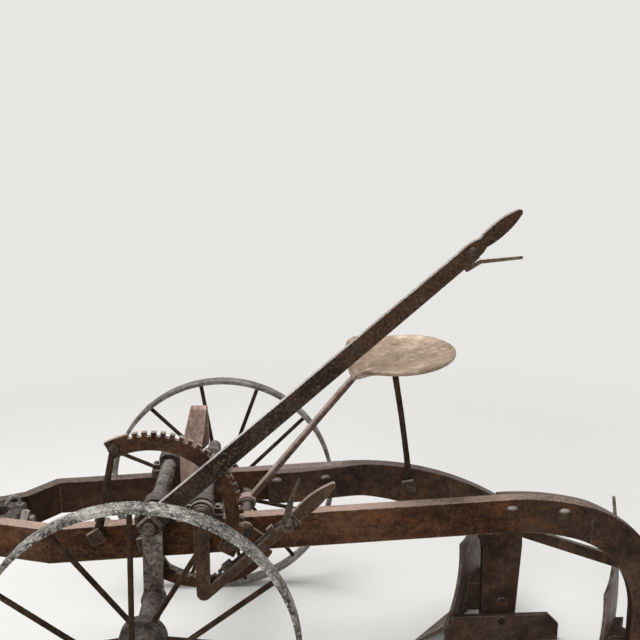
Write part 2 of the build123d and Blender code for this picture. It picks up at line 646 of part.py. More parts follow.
def leaf_grip(start, tip, neck_half, widest, widest_at, blunt):
    """Leaf-shaped grip: neck, swelling, then a point blunted to a half width."""
    shoulder = tip - 0.6 * blunt
    upper = Spline((start, neck_half), (widest_at, widest), (shoulder, blunt),
                   tangents=((1, 0.22), (1, -0.36)))
    lower = Spline((shoulder, -blunt), (widest_at, -widest), (start, -neck_half),
                   tangents=((-1, -0.36), (-1, 0.22)))
    nose = Polyline((shoulder, blunt), (tip, 0.3 * blunt), (tip, -0.3 * blunt), (shoulder, -blunt))
    neck = Line((start, -neck_half), (start, neck_half))
    return make_face([upper, *nose.edges(), lower, neck])


def make_main_lever():
    half_widths = ((0, 6.5), (262, 5.1), (272, 5.2), (277.5, 4.6), (NECK, 3.4))
    lower = [(u, -half) for u, half in half_widths]
    bar = polygon(*lower, *reversed(half_widths))
    outline = bar + Circle(9.3) + leaf_grip(NECK - 0.3, LEVER_LENGTH, 3.4, 4.6, 292.0, 1.7)
    lever = side_plate(tilted(outline, LAND_SHAFT, LEVER_ANGLE), MAIN_LEVER_Y)
    half = LEVER_SQUARE / 2
    lever -= block(
        (LAND_X - half, LAND_X + half), (-100, 0), (SHAFT_Z - half, SHAFT_Z + half))
    for u in LEVER_RIVETS:
        lever -= rod_y(*along(LAND_SHAFT, LEVER_ANGLE, u, 0), (-100, 0), 1.6)
    return lever - rod_y(*along(LAND_SHAFT, LEVER_ANGLE, *TRIGGER_PIVOT), (-100, 0), 2.2)


def make_main_lever_rivets():
    """Small rivets along the lever and the large one that the trigger turns on."""
    rivets = []
    for u in LEVER_RIVETS:
        x, z = along(LAND_SHAFT, LEVER_ANGLE, u, 0)
        rivets.append(rod_y(x, z, (MAIN_LEVER_Y[0], MAIN_LEVER_Y[1]), 1.6)
                      + dome((x, MAIN_LEVER_Y[0], z), (0, -1, 0), 2.4, 0.5))
    x, z = along(LAND_SHAFT, LEVER_ANGLE, *TRIGGER_PIVOT)
    rivets.append(rod_y(x, z, (MAIN_LEVER_Y[0], TRIGGER_Y[1]), 2.2)
                  + dome((x, MAIN_LEVER_Y[0], z), (0, -1, 0), 2.9, 1.1)
                  + rod_y(x, z, (MAIN_LEVER_Y[1], TRIGGER_Y[0] - 0.1), 3.2)
                  + rod_y(x, z, (TRIGGER_Y[1] + 0.1, TRIGGER_Y[1] + 1.0), 3.0))
    return rivets


def make_guides():
    """Blocks on the lever's inner face that the latch rod slides through."""
    guides = []
    for u in GUIDES:
        outline = tilted(Pos(u, LATCH_LINE + 2.0) * Rectangle(7.0, 8.0), LAND_SHAFT, LEVER_ANGLE)
        passage = tilted_rod(
            LAND_SHAFT, LEVER_ANGLE, LATCH_LINE, ROD_Y, (u - 10, u + 10), LATCH_ROD_RADIUS + ROD_PLAY)
        guides.append(side_plate(outline, GUIDE_Y) - passage)
    return guides


def make_main_trigger():
    """Cranked trigger: eye on the lever's rivet, a tail for the rod, a long finger bar."""
    eye = Circle(3.7)
    tail = polygon(
        (-3.5, 1.2), (-10.6, -5.0), (-10.4, -9.8), (-6.5, -10.4), (-6.3, -8.4), (1.8, -7.8), (3.6, -1.0))
    finger = polygon(
        (-10.4, -9.8), (0.1, -11.6), (21.4, -26.4), (22.6, -26.3), (23.0, -25.1), (1.4, -9.4), (-7.0, -8.2))
    pivot = along(LAND_SHAFT, LEVER_ANGLE, *TRIGGER_PIVOT)
    shape = side_plate(tilted(eye + tail + finger, pivot, LEVER_ANGLE), TRIGGER_Y)
    shape -= rod_y(*pivot, (-100, 0), 2.2 + RUNNING)
    return shape - rod_y(*along(LAND_SHAFT, LEVER_ANGLE, *HOOK_AT), (-100, 0), TRIGGER_HOLE)


def make_latch_rod(origin, angle, line, y, stretch, hook_end, radius):
    """Straight rod whose far end is turned in to hook into the trigger."""
    x, z = along(origin, angle, stretch[1], line)
    bend = Pos(x, y, z) * Sphere(radius)
    hook = rod_y(x, z, (y, hook_end), radius * 0.7)
    return tilted_rod(origin, angle, line, y, stretch, radius) + bend + hook


def make_latch_pawl():
    """Flat pawl at the rod's lower end with a square nose for the tooth gaps."""
    tip = QUADRANT_RADIUS + PAWL_REST
    nose_u = math.sqrt(tip ** 2 - LATCH_LINE ** 2)
    outline = polygon(
        (nose_u, LATCH_LINE - 1.0), (nose_u, LATCH_LINE + 1.0), (nose_u + 3.0, LATCH_LINE + 1.2),
        (nose_u + 5.0, LATCH_LINE + 4.0),
        (PAWL_END, LATCH_LINE + 4.0), (PAWL_END, LATCH_LINE - 2.4), (nose_u + 5.0, LATCH_LINE - 2.4),
        (nose_u + 3.0, LATCH_LINE - 1.2),
    )
    pawl_y = (MAIN_LEVER_Y[1] + 0.1, QUADRANT_Y[1] - 0.2)
    pawl = side_plate(tilted(outline, LAND_SHAFT, LEVER_ANGLE), pawl_y)
    return pawl - tilted_rod(
        LAND_SHAFT, LEVER_ANGLE, LATCH_LINE, ROD_Y, (ROD_START, PAWL_END + 4.0), LATCH_ROD_RADIUS)


def tooth_gaps(first, low, high):
    """Square notches across the quadrant's outer edge, one of them at the angle first."""
    gaps = []
    overshoot = 2.0
    length = TOOTH_HEIGHT + overshoot
    width = 2 * QUADRANT_RADIUS * math.sin(math.radians(TOOTH_PITCH * GAP_SHARE / 2))
    for step in range(math.ceil((low - first) / TOOTH_PITCH), math.floor((high - first) / TOOTH_PITCH) + 1):
        angle = first + step * TOOTH_PITCH
        middle = polar(LAND_SHAFT, QUADRANT_RADIUS + (overshoot - TOOTH_HEIGHT) / 2, angle)
        gaps.append(Pos(*middle) * Rot(0, 0, angle) * Rectangle(length, width))
    return gaps


QUADRANT_ANGLES = (-29.0, 118.0)
TOOTHED_ANGLES = (-10.0, 104.0)
GAP_SHARE = 0.45            # of the tooth pitch
STAY_TOP = (113.7, 55.5)    # angle and radius of the stay's rivet
STAY_RIVET = (1.8, 2.4)     # radii of its shank and heads
STAY_HEAD_ROOM = 7.2        # the shank stops this far from the foot bolt's axis


def make_main_quadrant():
    band = arc_band(LAND_SHAFT, QUADRANT_RADIUS - 12.5, QUADRANT_RADIUS, *QUADRANT_ANGLES)
    nose_angle = LEVER_ANGLE + math.degrees(math.asin(LATCH_LINE / QUADRANT_RADIUS))
    band -= tooth_gaps(nose_angle, *TOOTHED_ANGLES)
    plate = side_plate(band, QUADRANT_Y)
    plate -= rod_y(*polar(LAND_SHAFT, *reversed(STAY_TOP)), (-100, 0), STAY_RIVET[0])
    return plate - rod_y(*QUADRANT_SPACER, (-100, 0), BOLT_RADIUS + LOOSE)


def make_stay():
    """Forged stay: flattened eye on the quadrant, round shank, foot on the beam."""
    top = polar(LAND_SHAFT, *reversed(STAY_TOP))
    foot = STAY_FOOT
    top_y = (QUADRANT_Y[0] - 2.6, QUADRANT_Y[0])
    foot_y = (LEFT_FACE - 3.0, LEFT_FACE)
    eye = side_plate(Pos(*top) * Circle(3.4), top_y)
    start = (top[0], sum(top_y) / 2, top[1])
    end = (foot[0], sum(foot_y) / 2, foot[1])
    direction = Vector(*end) - Vector(*start)
    low = Vector(*end) - direction.normalized() * 7.0
    high = Vector(*start) + direction.normalized() * 4.2
    tongue = Vector(*end) - direction.normalized() * 13.0
    pad = side_plate(Pos(*foot) * Circle(5.4) + bar_outline((foot, (tongue.X, tongue.Z)), 5.6), foot_y)
    shank = rod(tuple(high), tuple(low), 2.2) + rod(start, tuple(high), 1.3, 2.2)
    shank -= rod_y(*foot, (-100, foot_y[0]), STAY_HEAD_ROOM)
    body = eye + pad + shank
    body -= rod_y(*top, (-100, 0), STAY_RIVET[0])
    body -= rod_y(*top, (-100, top_y[0]), STAY_RIVET[1] + 0.2)
    body -= side_plate(Pos(*top) * Circle(12), (QUADRANT_Y[0], 0))
    body -= rod_y(*foot, (-100, 0), BOLT_RADIUS + LOOSE)
    return body & block((-200, 200), (-80, LEFT_FACE), (0, 300))


def make_quadrant_bolts():
    """Stay rivet and foot bolt, the quadrant's spacer bolt, the furrow quadrant's bolt."""
    top = polar(LAND_SHAFT, *reversed(STAY_TOP))
    rivet = rivet_y(*top, (QUADRANT_Y[0] - 2.6, QUADRANT_Y[1]), *STAY_RIVET, 1.0)
    left_inner_face = LEFT_FACE + BAR_THICKNESS
    foot = bolt_y(*STAY_FOOT, (LEFT_FACE - 3.0, left_inner_face), nut_side=1, tail=7.5, turn=30)
    foot += square_nut((STAY_FOOT[0], left_inner_face, STAY_FOOT[1]), (0, 1, 0), turn=15)
    furrow = bolt_y(*FURROW_QUADRANT_BOLT, (FURROW_QUADRANT_Y[0], left_inner_face), nut_side=1, tail=7.5,
                    head_height=2.6, turn=12)
    nut_place = (FURROW_QUADRANT_BOLT[0], left_inner_face, FURROW_QUADRANT_BOLT[1])
    furrow += square_nut(nut_place, (0, 1, 0), turn=40)
    spacer = rod_y(*QUADRANT_SPACER, (QUADRANT_Y[1], LEFT_FACE), 3.8)
    spacer += rod_y(*QUADRANT_SPACER, (QUADRANT_Y[0], left_inner_face), BOLT_RADIUS)
    spacer += dome((QUADRANT_SPACER[0], QUADRANT_Y[0], QUADRANT_SPACER[1]), (0, -1, 0), 4.2, 1.2)
    spacer += dome((QUADRANT_SPACER[0], left_inner_face, QUADRANT_SPACER[1]), (0, 1, 0), 4.6, 2.4)
    return [rivet, foot, furrow, spacer]


save("main_lever", make_main_lever())
save("main_lever_nut", square_nut((LAND_X, MAIN_LEVER_Y[0], SHAFT_Z), (0, -1, 0), turn=42, bore=LEVER_THREAD,
                                  size=11.6, height=6.6))
save("main_lever_rivets", *make_main_lever_rivets())
save("main_latch_guides", *make_guides())
save("main_trigger", make_main_trigger())
save("main_latch_rod", make_latch_rod(
    LAND_SHAFT, LEVER_ANGLE, LATCH_LINE, ROD_Y, (ROD_START, HOOK_AT[0]), TRIGGER_Y[1] + 0.8,
    LATCH_ROD_RADIUS))
save("main_latch_pawl", make_latch_pawl())
save("main_quadrant", make_main_quadrant())
save("quadrant_stay", make_stay())
save("quadrant_bolts", *make_quadrant_bolts())


# ---- furrow lever, its latch and quadrant ---------------------------------------------------
FURROW_ANGLE = 41.5
ELBOW = (FURROW_X, 101.0)
FERRULE = 83.6              # along the lever from its elbow
FURROW_TIP = 120.3
FURROW_PIVOT = (77.0, -1.2)
FURROW_LINE = 3.6           # its latch rod runs this far above the centre line
FURROW_ROD_Y = -56.2
FURROW_ROD_RADIUS = 1.1
FURROW_TRIGGER_Y = (-61.2, -58.9)
FURROW_STUD_RADIUS = 1.5
FURROW_ARC = (47.5, 57.0)
FURROW_ARC_ANGLES = (-122.0, -34.0)
NOTCH_PITCH = 4.6           # degrees


def furrow_mouth():
    """How far along the lever the latch rod's line meets the arc's inner edge."""
    along_shaft = (SHAFT_Z - ELBOW[1]) * math.sin(math.radians(FURROW_ANGLE))
    above_shaft = (SHAFT_Z - ELBOW[1]) * math.cos(math.radians(FURROW_ANGLE))
    return along_shaft - math.sqrt(FURROW_ARC[0] ** 2 - (above_shaft - FURROW_LINE) ** 2)


FURROW_NOSE = furrow_mouth() + PAWL_REST    # the pawl's nose, along the lever
FURROW_PAWL = 25.0                          # middle of the pawl's root
ROD_LUG = 66.0                              # lug on the lever that the rod slides through


def make_furrow_lever():
    """Forged in one piece: hub on the shaft, arm down to an elbow, lever up to the grip."""
    arm = polygon(
        (FURROW_X - 6.0, SHAFT_Z), (FURROW_X - 5.0, ELBOW[1]),
        (FURROW_X + 4.4, ELBOW[1]), (FURROW_X + 5.0, SHAFT_Z))
    body = polygon((0, -4.9), (FERRULE, -4.6), (FERRULE, 1.8), (8.0, 1.8), (0, 4.6))
    grip = leaf_grip(FERRULE, FURROW_TIP, 3.0, 4.9, 98.0, 1.2)
    ferrule = Pos(FERRULE - 2.2, -0.6) * Rectangle(1.2, 9.6) + Pos(FERRULE, -0.6) * Rectangle(1.8, 10.6)
    outline = arm + Pos(*FURROW_SHAFT) * Circle(9.0) + Pos(*ELBOW) * Circle(4.9)
    outline += tilted(body + grip, ELBOW, FURROW_ANGLE)
    outline += tilted(Pos(ROD_LUG, FURROW_LINE) * Rectangle(5.0, 5.6), ELBOW, FURROW_ANGLE)
    lever = side_plate(outline, FURROW_LEVER_Y)
    lever -= tilted_rod(
        ELBOW, FURROW_ANGLE, FURROW_LINE, FURROW_ROD_Y, (ROD_LUG - 4, ROD_LUG + 4),
        FURROW_ROD_RADIUS + ROD_PLAY)
    lever += side_plate(tilted(ferrule, ELBOW, FURROW_ANGLE), (FURROW_LEVER_Y[0] - 0.6, FURROW_LEVER_Y[1]))
    lever += make_furrow_trigger_stud()
    half = FURROW_SQUARE / 2
    lever -= block((FURROW_X - half, FURROW_X + half), (-100, 0), (SHAFT_Z - half, SHAFT_Z + half))
    return lever


def make_furrow_trigger():
    """Pointed finger spike over the grip, its root on the lever's outer face."""
    pivot = along(ELBOW, FURROW_ANGLE, *FURROW_PIVOT)
    root = Circle(3.7) + polygon((-3.6, 0.4), (-2.9, 6.6), (2.6, 7.4), (6.4, 4.2), (3.6, -0.8))
    spike = polygon(
        (1.6, 7.2), (8.0, 11.6), (15.2, 15.4), (28.6, 21.4), (29.0, 20.6), (16.0, 12.6), (6.6, 4.0))
    plate = side_plate(tilted(root + spike, pivot, FURROW_ANGLE), FURROW_TRIGGER_Y)
    plate -= rod_y(*pivot, (-100, 0), FURROW_STUD_RADIUS + RUNNING)
    return plate - rod_y(*along(ELBOW, FURROW_ANGLE, FURROW_PIVOT[0], FURROW_LINE), (-100, 0), 1.4)


def make_furrow_latch():
    """Latch rod with its hooked end and the pawl that reaches behind the lever."""
    latch = make_latch_rod(
        ELBOW, FURROW_ANGLE, FURROW_LINE, FURROW_ROD_Y, (FURROW_PAWL, FURROW_PIVOT[0]),
        FURROW_TRIGGER_Y[0] - 0.4, FURROW_ROD_RADIUS)
    block_outline = Pos(FURROW_PAWL, FURROW_LINE + 0.6) * Rectangle(7.0, 3.4)
    block_y = (FURROW_ROD_Y - FURROW_ROD_RADIUS, FURROW_QUADRANT_Y[1] - 0.3)
    latch += side_plate(tilted(block_outline, ELBOW, FURROW_ANGLE), block_y)
    straight = FURROW_NOSE + 2.4
    root = FURROW_PAWL - 3.0
    nose = polygon(
        (FURROW_NOSE, FURROW_LINE - 0.8), (FURROW_NOSE, FURROW_LINE + 0.8),
        (straight, FURROW_LINE + 0.8), (root, FURROW_LINE + 2.3),
        (root, FURROW_LINE - 1.1), (straight, FURROW_LINE - 0.8))
    return latch + side_plate(
        tilted(nose, ELBOW, FURROW_ANGLE), (FURROW_QUADRANT_Y[0] + 0.2, FURROW_QUADRANT_Y[1] - 0.3))


def make_furrow_trigger_stud():
    """Stud on the lever's outer face that the trigger turns on, its end riveted over."""
    x, z = along(ELBOW, FURROW_ANGLE, *FURROW_PIVOT)
    head_y = FURROW_TRIGGER_Y[0] - 0.1
    stud = rod_y(x, z, (head_y, FURROW_LEVER_Y[1]), FURROW_STUD_RADIUS)
    stud += rod_y(x, z, (FURROW_TRIGGER_Y[1] + 0.1, FURROW_LEVER_Y[0]), 2.6)
    return stud + dome((x, head_y, z), (0, -1, 0), 2.7, 1.2)


def make_furrow_quadrant():
    """Toothed arc under the left beam, its notches slanted to the latch's travel."""
    plate = arc_band(FURROW_SHAFT, *FURROW_ARC, *FURROW_ARC_ANGLES)
    nose = along(ELBOW, FURROW_ANGLE, furrow_mouth(), FURROW_LINE)
    first = math.degrees(math.atan2(nose[1] - SHAFT_Z, nose[0] - FURROW_X))
    slant = FURROW_ANGLE - first
    for step in range(-7, 9):
        angle = first + NOTCH_PITCH * step
        mouth = polar(FURROW_SHAFT, FURROW_ARC[0], angle)
        plate -= Pos(*mouth) * Rot(0, 0, angle + slant) * Pos(-0.3, 0) * Rectangle(4.4, 2.2)
    front = polar(FURROW_SHAFT, 52.2, FURROW_ARC_ANGLES[0])
    rear = polar(FURROW_SHAFT, 52.2, FURROW_ARC_ANGLES[1] + 4)
    plate += bar_outline((FURROW_QUADRANT_BOLT, (front[0] + 1.0, front[1] + 1.0)), 9.4)
    plate += Pos(*FURROW_QUADRANT_BOLT) * Circle(5.6)
    plate += bar_outline((SEAT_ROD, (rear[0] - 1.0, rear[1])), 9.0) + Pos(*SEAT_ROD) * Circle(5.8)
    solid = side_plate(plate, FURROW_QUADRANT_Y)
    solid -= rod_y(*SEAT_ROD, (-100, 0), SEAT_ROD_RADIUS)
    return solid - rod_y(*FURROW_QUADRANT_BOLT, (-100, 0), BOLT_RADIUS + LOOSE)


def make_domed_nut():
    """Round-headed nut on the furrow shaft's near end."""
    skirt = rod_y(FURROW_X, SHAFT_Z, (-60.0, FURROW_LEVER_Y[0]), 7.3)
    crown = dome((FURROW_X, -60.0, SHAFT_Z), (0, -1, 0), 6.2, 3.6)
    return skirt + crown - rod_y(FURROW_X, SHAFT_Z, (-62.0, 0), 3.0)


save("furrow_lever", make_furrow_lever())
save("furrow_lever_nut", make_domed_nut())
save("furrow_trigger", make_furrow_trigger())
save("furrow_latch_rod", make_furrow_latch())
save("furrow_quadrant", make_furrow_quadrant())


# ---- seat ------------------------------------------------------------------------------------
SEAT_CENTRE = (156.3, SEAT_Y)
SEAT_HALF = (38.7, 50.0)
SEAT_RIM_Z = 258.0
SEAT_SLOPE = 0.088          # the pan rises towards the rear
SEAT_DISH = 9.0
SEAT_LIP = 10.5             # the front edge droops towards the front strut
SEAT_SHEET = 2.0
STRUT_TOP = (122.4, 240.0)
STRUT_BAR = (4.9, 5.6)      # height and width of the front strut's bar
REAR_STRUT_TOP = (152.6, 244.5)
STRAP = 3.0


def seat_height(x, y):
    """Upper surface of the pan: a dish whose front middle turns down."""
    u = (x - SEAT_CENTRE[0]) / SEAT_HALF[0]
    v = (y - SEAT_CENTRE[1]) / SEAT_HALF[1]
    dish = SEAT_DISH * (1 - min(u * u + v * v, 1.35))
    forward = min(max((-u - 0.35) / 0.65, 0.0), 1.0)
    lip = SEAT_LIP * forward ** 2 * (3 - 2 * forward) * math.exp(-(2.5 * v + 0.5) ** 2)
    return SEAT_RIM_Z + SEAT_SLOPE * (x - SEAT_CENTRE[0]) - dish - lip


def make_seat_pan():
    steps = 13
    grid = []
    for i in range(steps):
        x = SEAT_CENTRE[0] + SEAT_HALF[0] * 1.08 * (2 * i / (steps - 1) - 1)
        row = []
        for j in range(steps):
            y = SEAT_CENTRE[1] + SEAT_HALF[1] * 1.08 * (2 * j / (steps - 1) - 1)
            row.append(Vector(x, y, seat_height(x, y)))
        grid.append(row)
    sheet = Face.make_surface_from_array_of_points(grid, min_deg=3, max_deg=5)
    outline = Pos(*SEAT_CENTRE) * Ellipse(*SEAT_HALF)
    return thicken(sheet, amount=-SEAT_SHEET) & plan_plate(outline, (200, 300))


def lowest(shape):
    return sorted(shape.solids(), key=lambda solid: solid.center().Z)[0]


PAD_RIVET_RADIUS = 1.5
FRONT_PAD = (121.0, 130.0)  # stations of the pads under the pan
REAR_PAD = (147.0, 159.0)
PAD_RIVETS = ((126.5, 234.0), (153.0, 244.6))   # station and lowest point of each rivet


def make_front_strut(pan):
    """Forged bar from an eye on the cross rod up to a pad under the pan's lip."""
    y = (SEAT_Y - STRUT_BAR[1] / 2, SEAT_Y + STRUT_BAR[1] / 2)
    bar = bar_outline((SEAT_ROD, STRUT_TOP), STRUT_BAR[0])
    bar += bar_outline((STRUT_TOP, (130.0, 248.0)), STRUT_BAR[0])
    strut = side_plate(bar, y)
    strut += rod_y(*SEAT_ROD, (SEAT_Y - EYE_HALF, SEAT_Y + EYE_HALF), 6.2)
    strut += block(FRONT_PAD, y, (236.0, 252.0)) & side_plate(
        polygon((FRONT_PAD[0], 237.5), (FRONT_PAD[1], 241.5), (FRONT_PAD[1], 256), (FRONT_PAD[0], 256)), y)
    strut -= rod_y(*SEAT_ROD, (-60, 60), SEAT_ROD_RADIUS)
    return lowest(strut - pan)


def make_rear_strut(pan):
    """Strap from under the pan down to a flat foot on the right standard."""
    inner_face = RIGHT_BEAM_Y - BAR_THICKNESS / 2
    top = Vector(REAR_STRUT_TOP[0] + 1.5, SEAT_Y + 2, REAR_STRUT_TOP[1] - 0.5)
    low = Vector(STRUT_FOOT[0] - 1.5, inner_face - 1.8, 160.0)
    slope = Plane(origin=top, x_dir=(1, 0.25, 0), z_dir=low - top)
    leg = slope * extrude(Rectangle(4.4, STRAP + 0.6), amount=(low - top).length + 4)
    foot = block((STRUT_FOOT[0] - 5, STRUT_FOOT[0] + 5), (inner_face - STRAP, inner_face), (133.5, 162.0))
    pad = block(REAR_PAD, (SEAT_Y - 6, SEAT_Y + 6), (244.6, 252.0))
    strut = lowest(leg + foot + pad - pan)
    strut -= block((0, 400), (inner_face, 100), (0, 300))
    return strut - rod_y(*STRUT_FOOT, (0, 60), BOLT_RADIUS + LOOSE)


pan = make_seat_pan()
front_strut = make_front_strut(pan)
rear_strut = make_rear_strut(pan)
seat_rivets = []
for strut, (x, low) in zip((front_strut, rear_strut), PAD_RIVETS):
    shank = rod((x, SEAT_Y, low), (x, SEAT_Y, 300), PAD_RIVET_RADIUS)
    seat_rivets.append((shank & pan) + (shank & strut))
for rivet in seat_rivets:
    pan -= rivet
    front_strut -= rivet
    rear_strut -= rivet
save("seat_pan", pan)
save("seat_front_strut", front_strut)
save("seat_rear_strut", rear_strut)
save("seat_rivets", *seat_rivets)
strut_foot_y = (right_inner - STRAP, RIGHT_BEAM_Y + BAR_THICKNESS / 2)
strut_bolt = bolt_y(*STRUT_FOOT, strut_foot_y, nut_side=1, head_height=2.6, tail=6.0, turn=10)
strut_bolt += square_nut(
    (STRUT_FOOT[0], strut_foot_y[1], STRUT_FOOT[1]), (0, 1, 0), turn=25, bore=2.0, height=4.6)


# ---- foot rest ---------------------------------------------------------------------------------
REST_STRAP = 2.5
REST_TOP_Z = 206.0


def make_foot_rest():
    """Strap folded at its top, its legs astride the right beam and set out round the bearings."""
    half = BAR_THICKNESS / 2 + REST_STRAP / 2
    standing = half + 1.4
    near_leg = ((-half, 133.0), (-half, 146.5), (-standing, 150.0), (-standing, 173.0))
    fold = ((-1.9, REST_TOP_Z - 1.4), (0, REST_TOP_Z), (1.9, REST_TOP_Z - 1.4))
    far_leg = tuple((-y, z) for y, z in reversed(near_leg))
    across = Plane(origin=(-20, RIGHT_BEAM_Y, 0), x_dir=(0, 1, 0), z_dir=(1, 0, 0))
    strap = extrude(across * bar_outline(near_leg + fold + far_leg, REST_STRAP), amount=60)
    near_side = polygon(
        (-6.0, 130), (4.0, 130), (5.5, 150), (9.2, 176), (11.2, 186), (13.9, 210),
        (2.2, 210), (-3.7, 186), (-7.6, 170), (-7.6, 150))
    far_side = polygon(
        (-4.0, 130), (6.0, 130), (7.2, 160), (8.4, 168.5), (14.0, 174), (13.9, 210),
        (2.2, 210), (-3.4, 172), (-3.4, 150))
    near = strap & side_plate(near_side, (0, RIGHT_BEAM_Y))
    far = strap & side_plate(far_side, (RIGHT_BEAM_Y, 60))
    return near + far - rod_y(*FOOT_REST_BOLT, (0, 60), PLOW_BOLT_RADIUS + LOOSE)


save("foot_rest", make_foot_rest())
rest_y = (right_inner - REST_STRAP, RIGHT_BEAM_Y + BAR_THICKNESS / 2 + REST_STRAP)
rest_bolt = bolt_y(*FOOT_REST_BOLT, rest_y, nut_side=1, radius=PLOW_BOLT_RADIUS, head_height=2.4, tail=5.5)
rest_bolt += square_nut(
    (FOOT_REST_BOLT[0], rest_y[1], FOOT_REST_BOLT[1]), (0, 1, 0), turn=20, bore=1.5, size=7.0, height=4.0)


# ---- plow bottoms ------------------------------------------------------------------------------
LANDSIDE_X = (291.0, 385.0)     # stations and sides of the rear bottom
LANDSIDE_Z = (0.0, 24.0)
LANDSIDE_Y = (LEFT_FACE - 4.0, LEFT_FACE)
SHARE_SHEET = 3.0
MOLDBOARD_SHEET = 2.4
FRONT_SHIFT = (FRONT_LEG_X - REAR_LEG_X, RIGHT_BEAM_Y - LEFT_BEAM_Y)
SHARE_POINT = (262.0, -55.0)    # cutting edge runs from the point to the wing
SHARE_WING = (335.0, 22.0)
SHARE_PLAN = (SHARE_POINT, SHARE_WING, (341.5, 13.0), (323.0, -23.0), (294.0, -55.0))
SHARE_NORMAL = Vector(-1155, 1095, 2002).normalized()
WING_TOP = {"rear": 43.0, "front": 12.0}    # how far the wing's tip stands above the shin


def share_height(x, y):
    """Height of the share's upper face."""
    dx, dy = x - SHARE_POINT[0], y - SHARE_POINT[1]
    return 1.0 - (SHARE_NORMAL.X * dx + SHARE_NORMAL.Y * dy) / SHARE_NORMAL.Z


def make_share():
    plane = Plane(origin=(*SHARE_POINT, 1.0), z_dir=SHARE_NORMAL)
    slab = plane * Pos(0, 0, -SHARE_SHEET / 2) * Box(400, 400, SHARE_SHEET)
    return slab & plan_plate(polygon(*SHARE_PLAN), (0, 60))


def make_moldboard(rise, share):
    """Twisted sheet that rises from the share and turns over towards the furrow."""
    steps = 7
    grid = []
    for i in range(steps):
        s = i / (steps - 1)
        row = []
        for j in range(steps):
            t = j / (steps - 1)
            x = 288 + 12 * t + (66 - 16 * t) * s - 18 * s * s + 14 * t * (1 - t)
            y = -58 + 70 * s + 6 * t * t
            foot = share_height(288 + 66 * s - 18 * s * s, -58 + 70 * s) + 0.1
            row.append(Vector(x, y, foot + t * (88 + rise * s * s - foot)))
        grid.append(row)
    sheet = Face.make_surface_from_array_of_points(grid, min_deg=3, max_deg=5)
    return thicken(sheet, amount=MOLDBOARD_SHEET) - share


def make_landside(share, moldboard):
    plate = block(LANDSIDE_X, LANDSIDE_Y, LANDSIDE_Z)
    plate = chamfer(plate.edges().filter_by(Axis.Y).group_by(Axis.X)[-1].group_by(Axis.Z)[-1], 9.0)
    plate = (plate - share) - moldboard
    plate = sorted(plate.solids(), key=lambda solid: solid.volume)[-1]
    return plate - rod_y(REAR_LEG_X, LEG_BOLTS_Z[0], (-100, 100), PLOW_BOLT_RADIUS + LOOSE)


FROG_PLAN = (
    (295.0, -42.0), (310.0, -18.0), (333.0, -18.0), (326.0, -30.0),
    (331.0, -36.0), (348.0, -36.0), (348.0, -42.0),
)
FROG_Z = (22.0, 47.0)
FROG_FOOT = ((325.0, 346.0), (-42.0, -36.0), (15.0, 23.0))
FACE_BOLTS = ((-37.0, 28.0), (-26.0, 41.0), (-22.0, 28.0))     # across and up, moldboard to frog


def make_frog(share, moldboard):
    """Bracket between leg and moldboard, cut to bed on the moldboard's back."""
    frog = plan_plate(polygon(*FROG_PLAN), FROG_Z) - moldboard
    frog = sorted(frog.solids(), key=lambda solid: solid.center().X)[-1]
    frog += block(*FROG_FOOT)
    for z in LEG_BOLTS_Z:
        frog -= rod_y(REAR_LEG_X, z, (-100, 100), PLOW_BOLT_RADIUS + LOOSE)
    return frog - share


def make_leg_bolts():
    """Bolts through landside, leg and frog, heads flat against the furrow wall."""
    bolts = []
    for z, face in zip(LEG_BOLTS_Z, (LANDSIDE_Y[0], LEFT_FACE)):
        bolt = rod_y(REAR_LEG_X, z, (face, -29.0), PLOW_BOLT_RADIUS)
        bolt += rod_y(REAR_LEG_X, z, (face - 1.2, face), 3.6)
        nut = square_nut((REAR_LEG_X, -36.0, z), (0, 1, 0), turn=11 * z, bore=1.0, size=7.0, height=4.0)
        bolts.append(bolt + nut)
    return bolts


def make_face_bolts(moldboard):
    """Plow bolts whose flat heads lie in the moldboard, threaded into the frog."""
    bolts = []
    for y, z in FACE_BOLTS:
        axis = rod((250, y, z), (360, y, z), 1.6)
        sheet = (axis & moldboard).bounding_box()
        bolts.append(rod((sheet.min.X - 0.2, y, z), (sheet.max.X + 5.0, y, z), 1.6)
                     + rod((sheet.min.X - 0.2, y, z), (sheet.min.X + 0.8, y, z), 2.6))
    return bolts


plow_bolts = []
for name, rise, shift in (("rear", WING_TOP["rear"], (0, 0)), ("front", WING_TOP["front"], FRONT_SHIFT)):
    share = make_share()
    moldboard = make_moldboard(rise, share)
    landside = make_landside(share, moldboard)
    frog = make_frog(share, moldboard)
    face_bolts = make_face_bolts(moldboard)
    for bolt in face_bolts:
        moldboard -= bolt
        frog -= bolt
    place = Pos(*shift, 0)
    save(f"{name}_share", place * share)
    save(f"{name}_moldboard", place * moldboard)
    save(f"{name}_landside", place * landside)
    save(f"{name}_frog", place * frog)
    plow_bolts += [place * bolt for bolt in make_leg_bolts() + face_bolts]
save("plow_bolts", *plow_bolts)


# ---- brace between the standards -----------------------------------------------------------------
BRACE_HEIGHT = 9.0
BRACE_SHEET = 3.0


def make_brace():
    """Diagonal flat bar, its ends turned to lie on the two standards' inner faces."""
    front, rear = (FRONT_BRACE[0], right_inner), (REAR_BRACE[0], left_inner)
    path = (
        (front[0] - 7, front[1] - BRACE_SHEET / 2), (front[0] + 8, front[1] - BRACE_SHEET / 2),
        (rear[0] - 8, rear[1] + BRACE_SHEET / 2), (rear[0] + 7, rear[1] + BRACE_SHEET / 2),
    )
    z = (FRONT_BRACE[1] - BRACE_HEIGHT / 2, FRONT_BRACE[1] + BRACE_HEIGHT / 2)
    bar = plan_plate(bar_outline(path, BRACE_SHEET), z)
    return bar - holes_y((FRONT_BRACE, REAR_BRACE), BOLT_RADIUS + LOOSE)


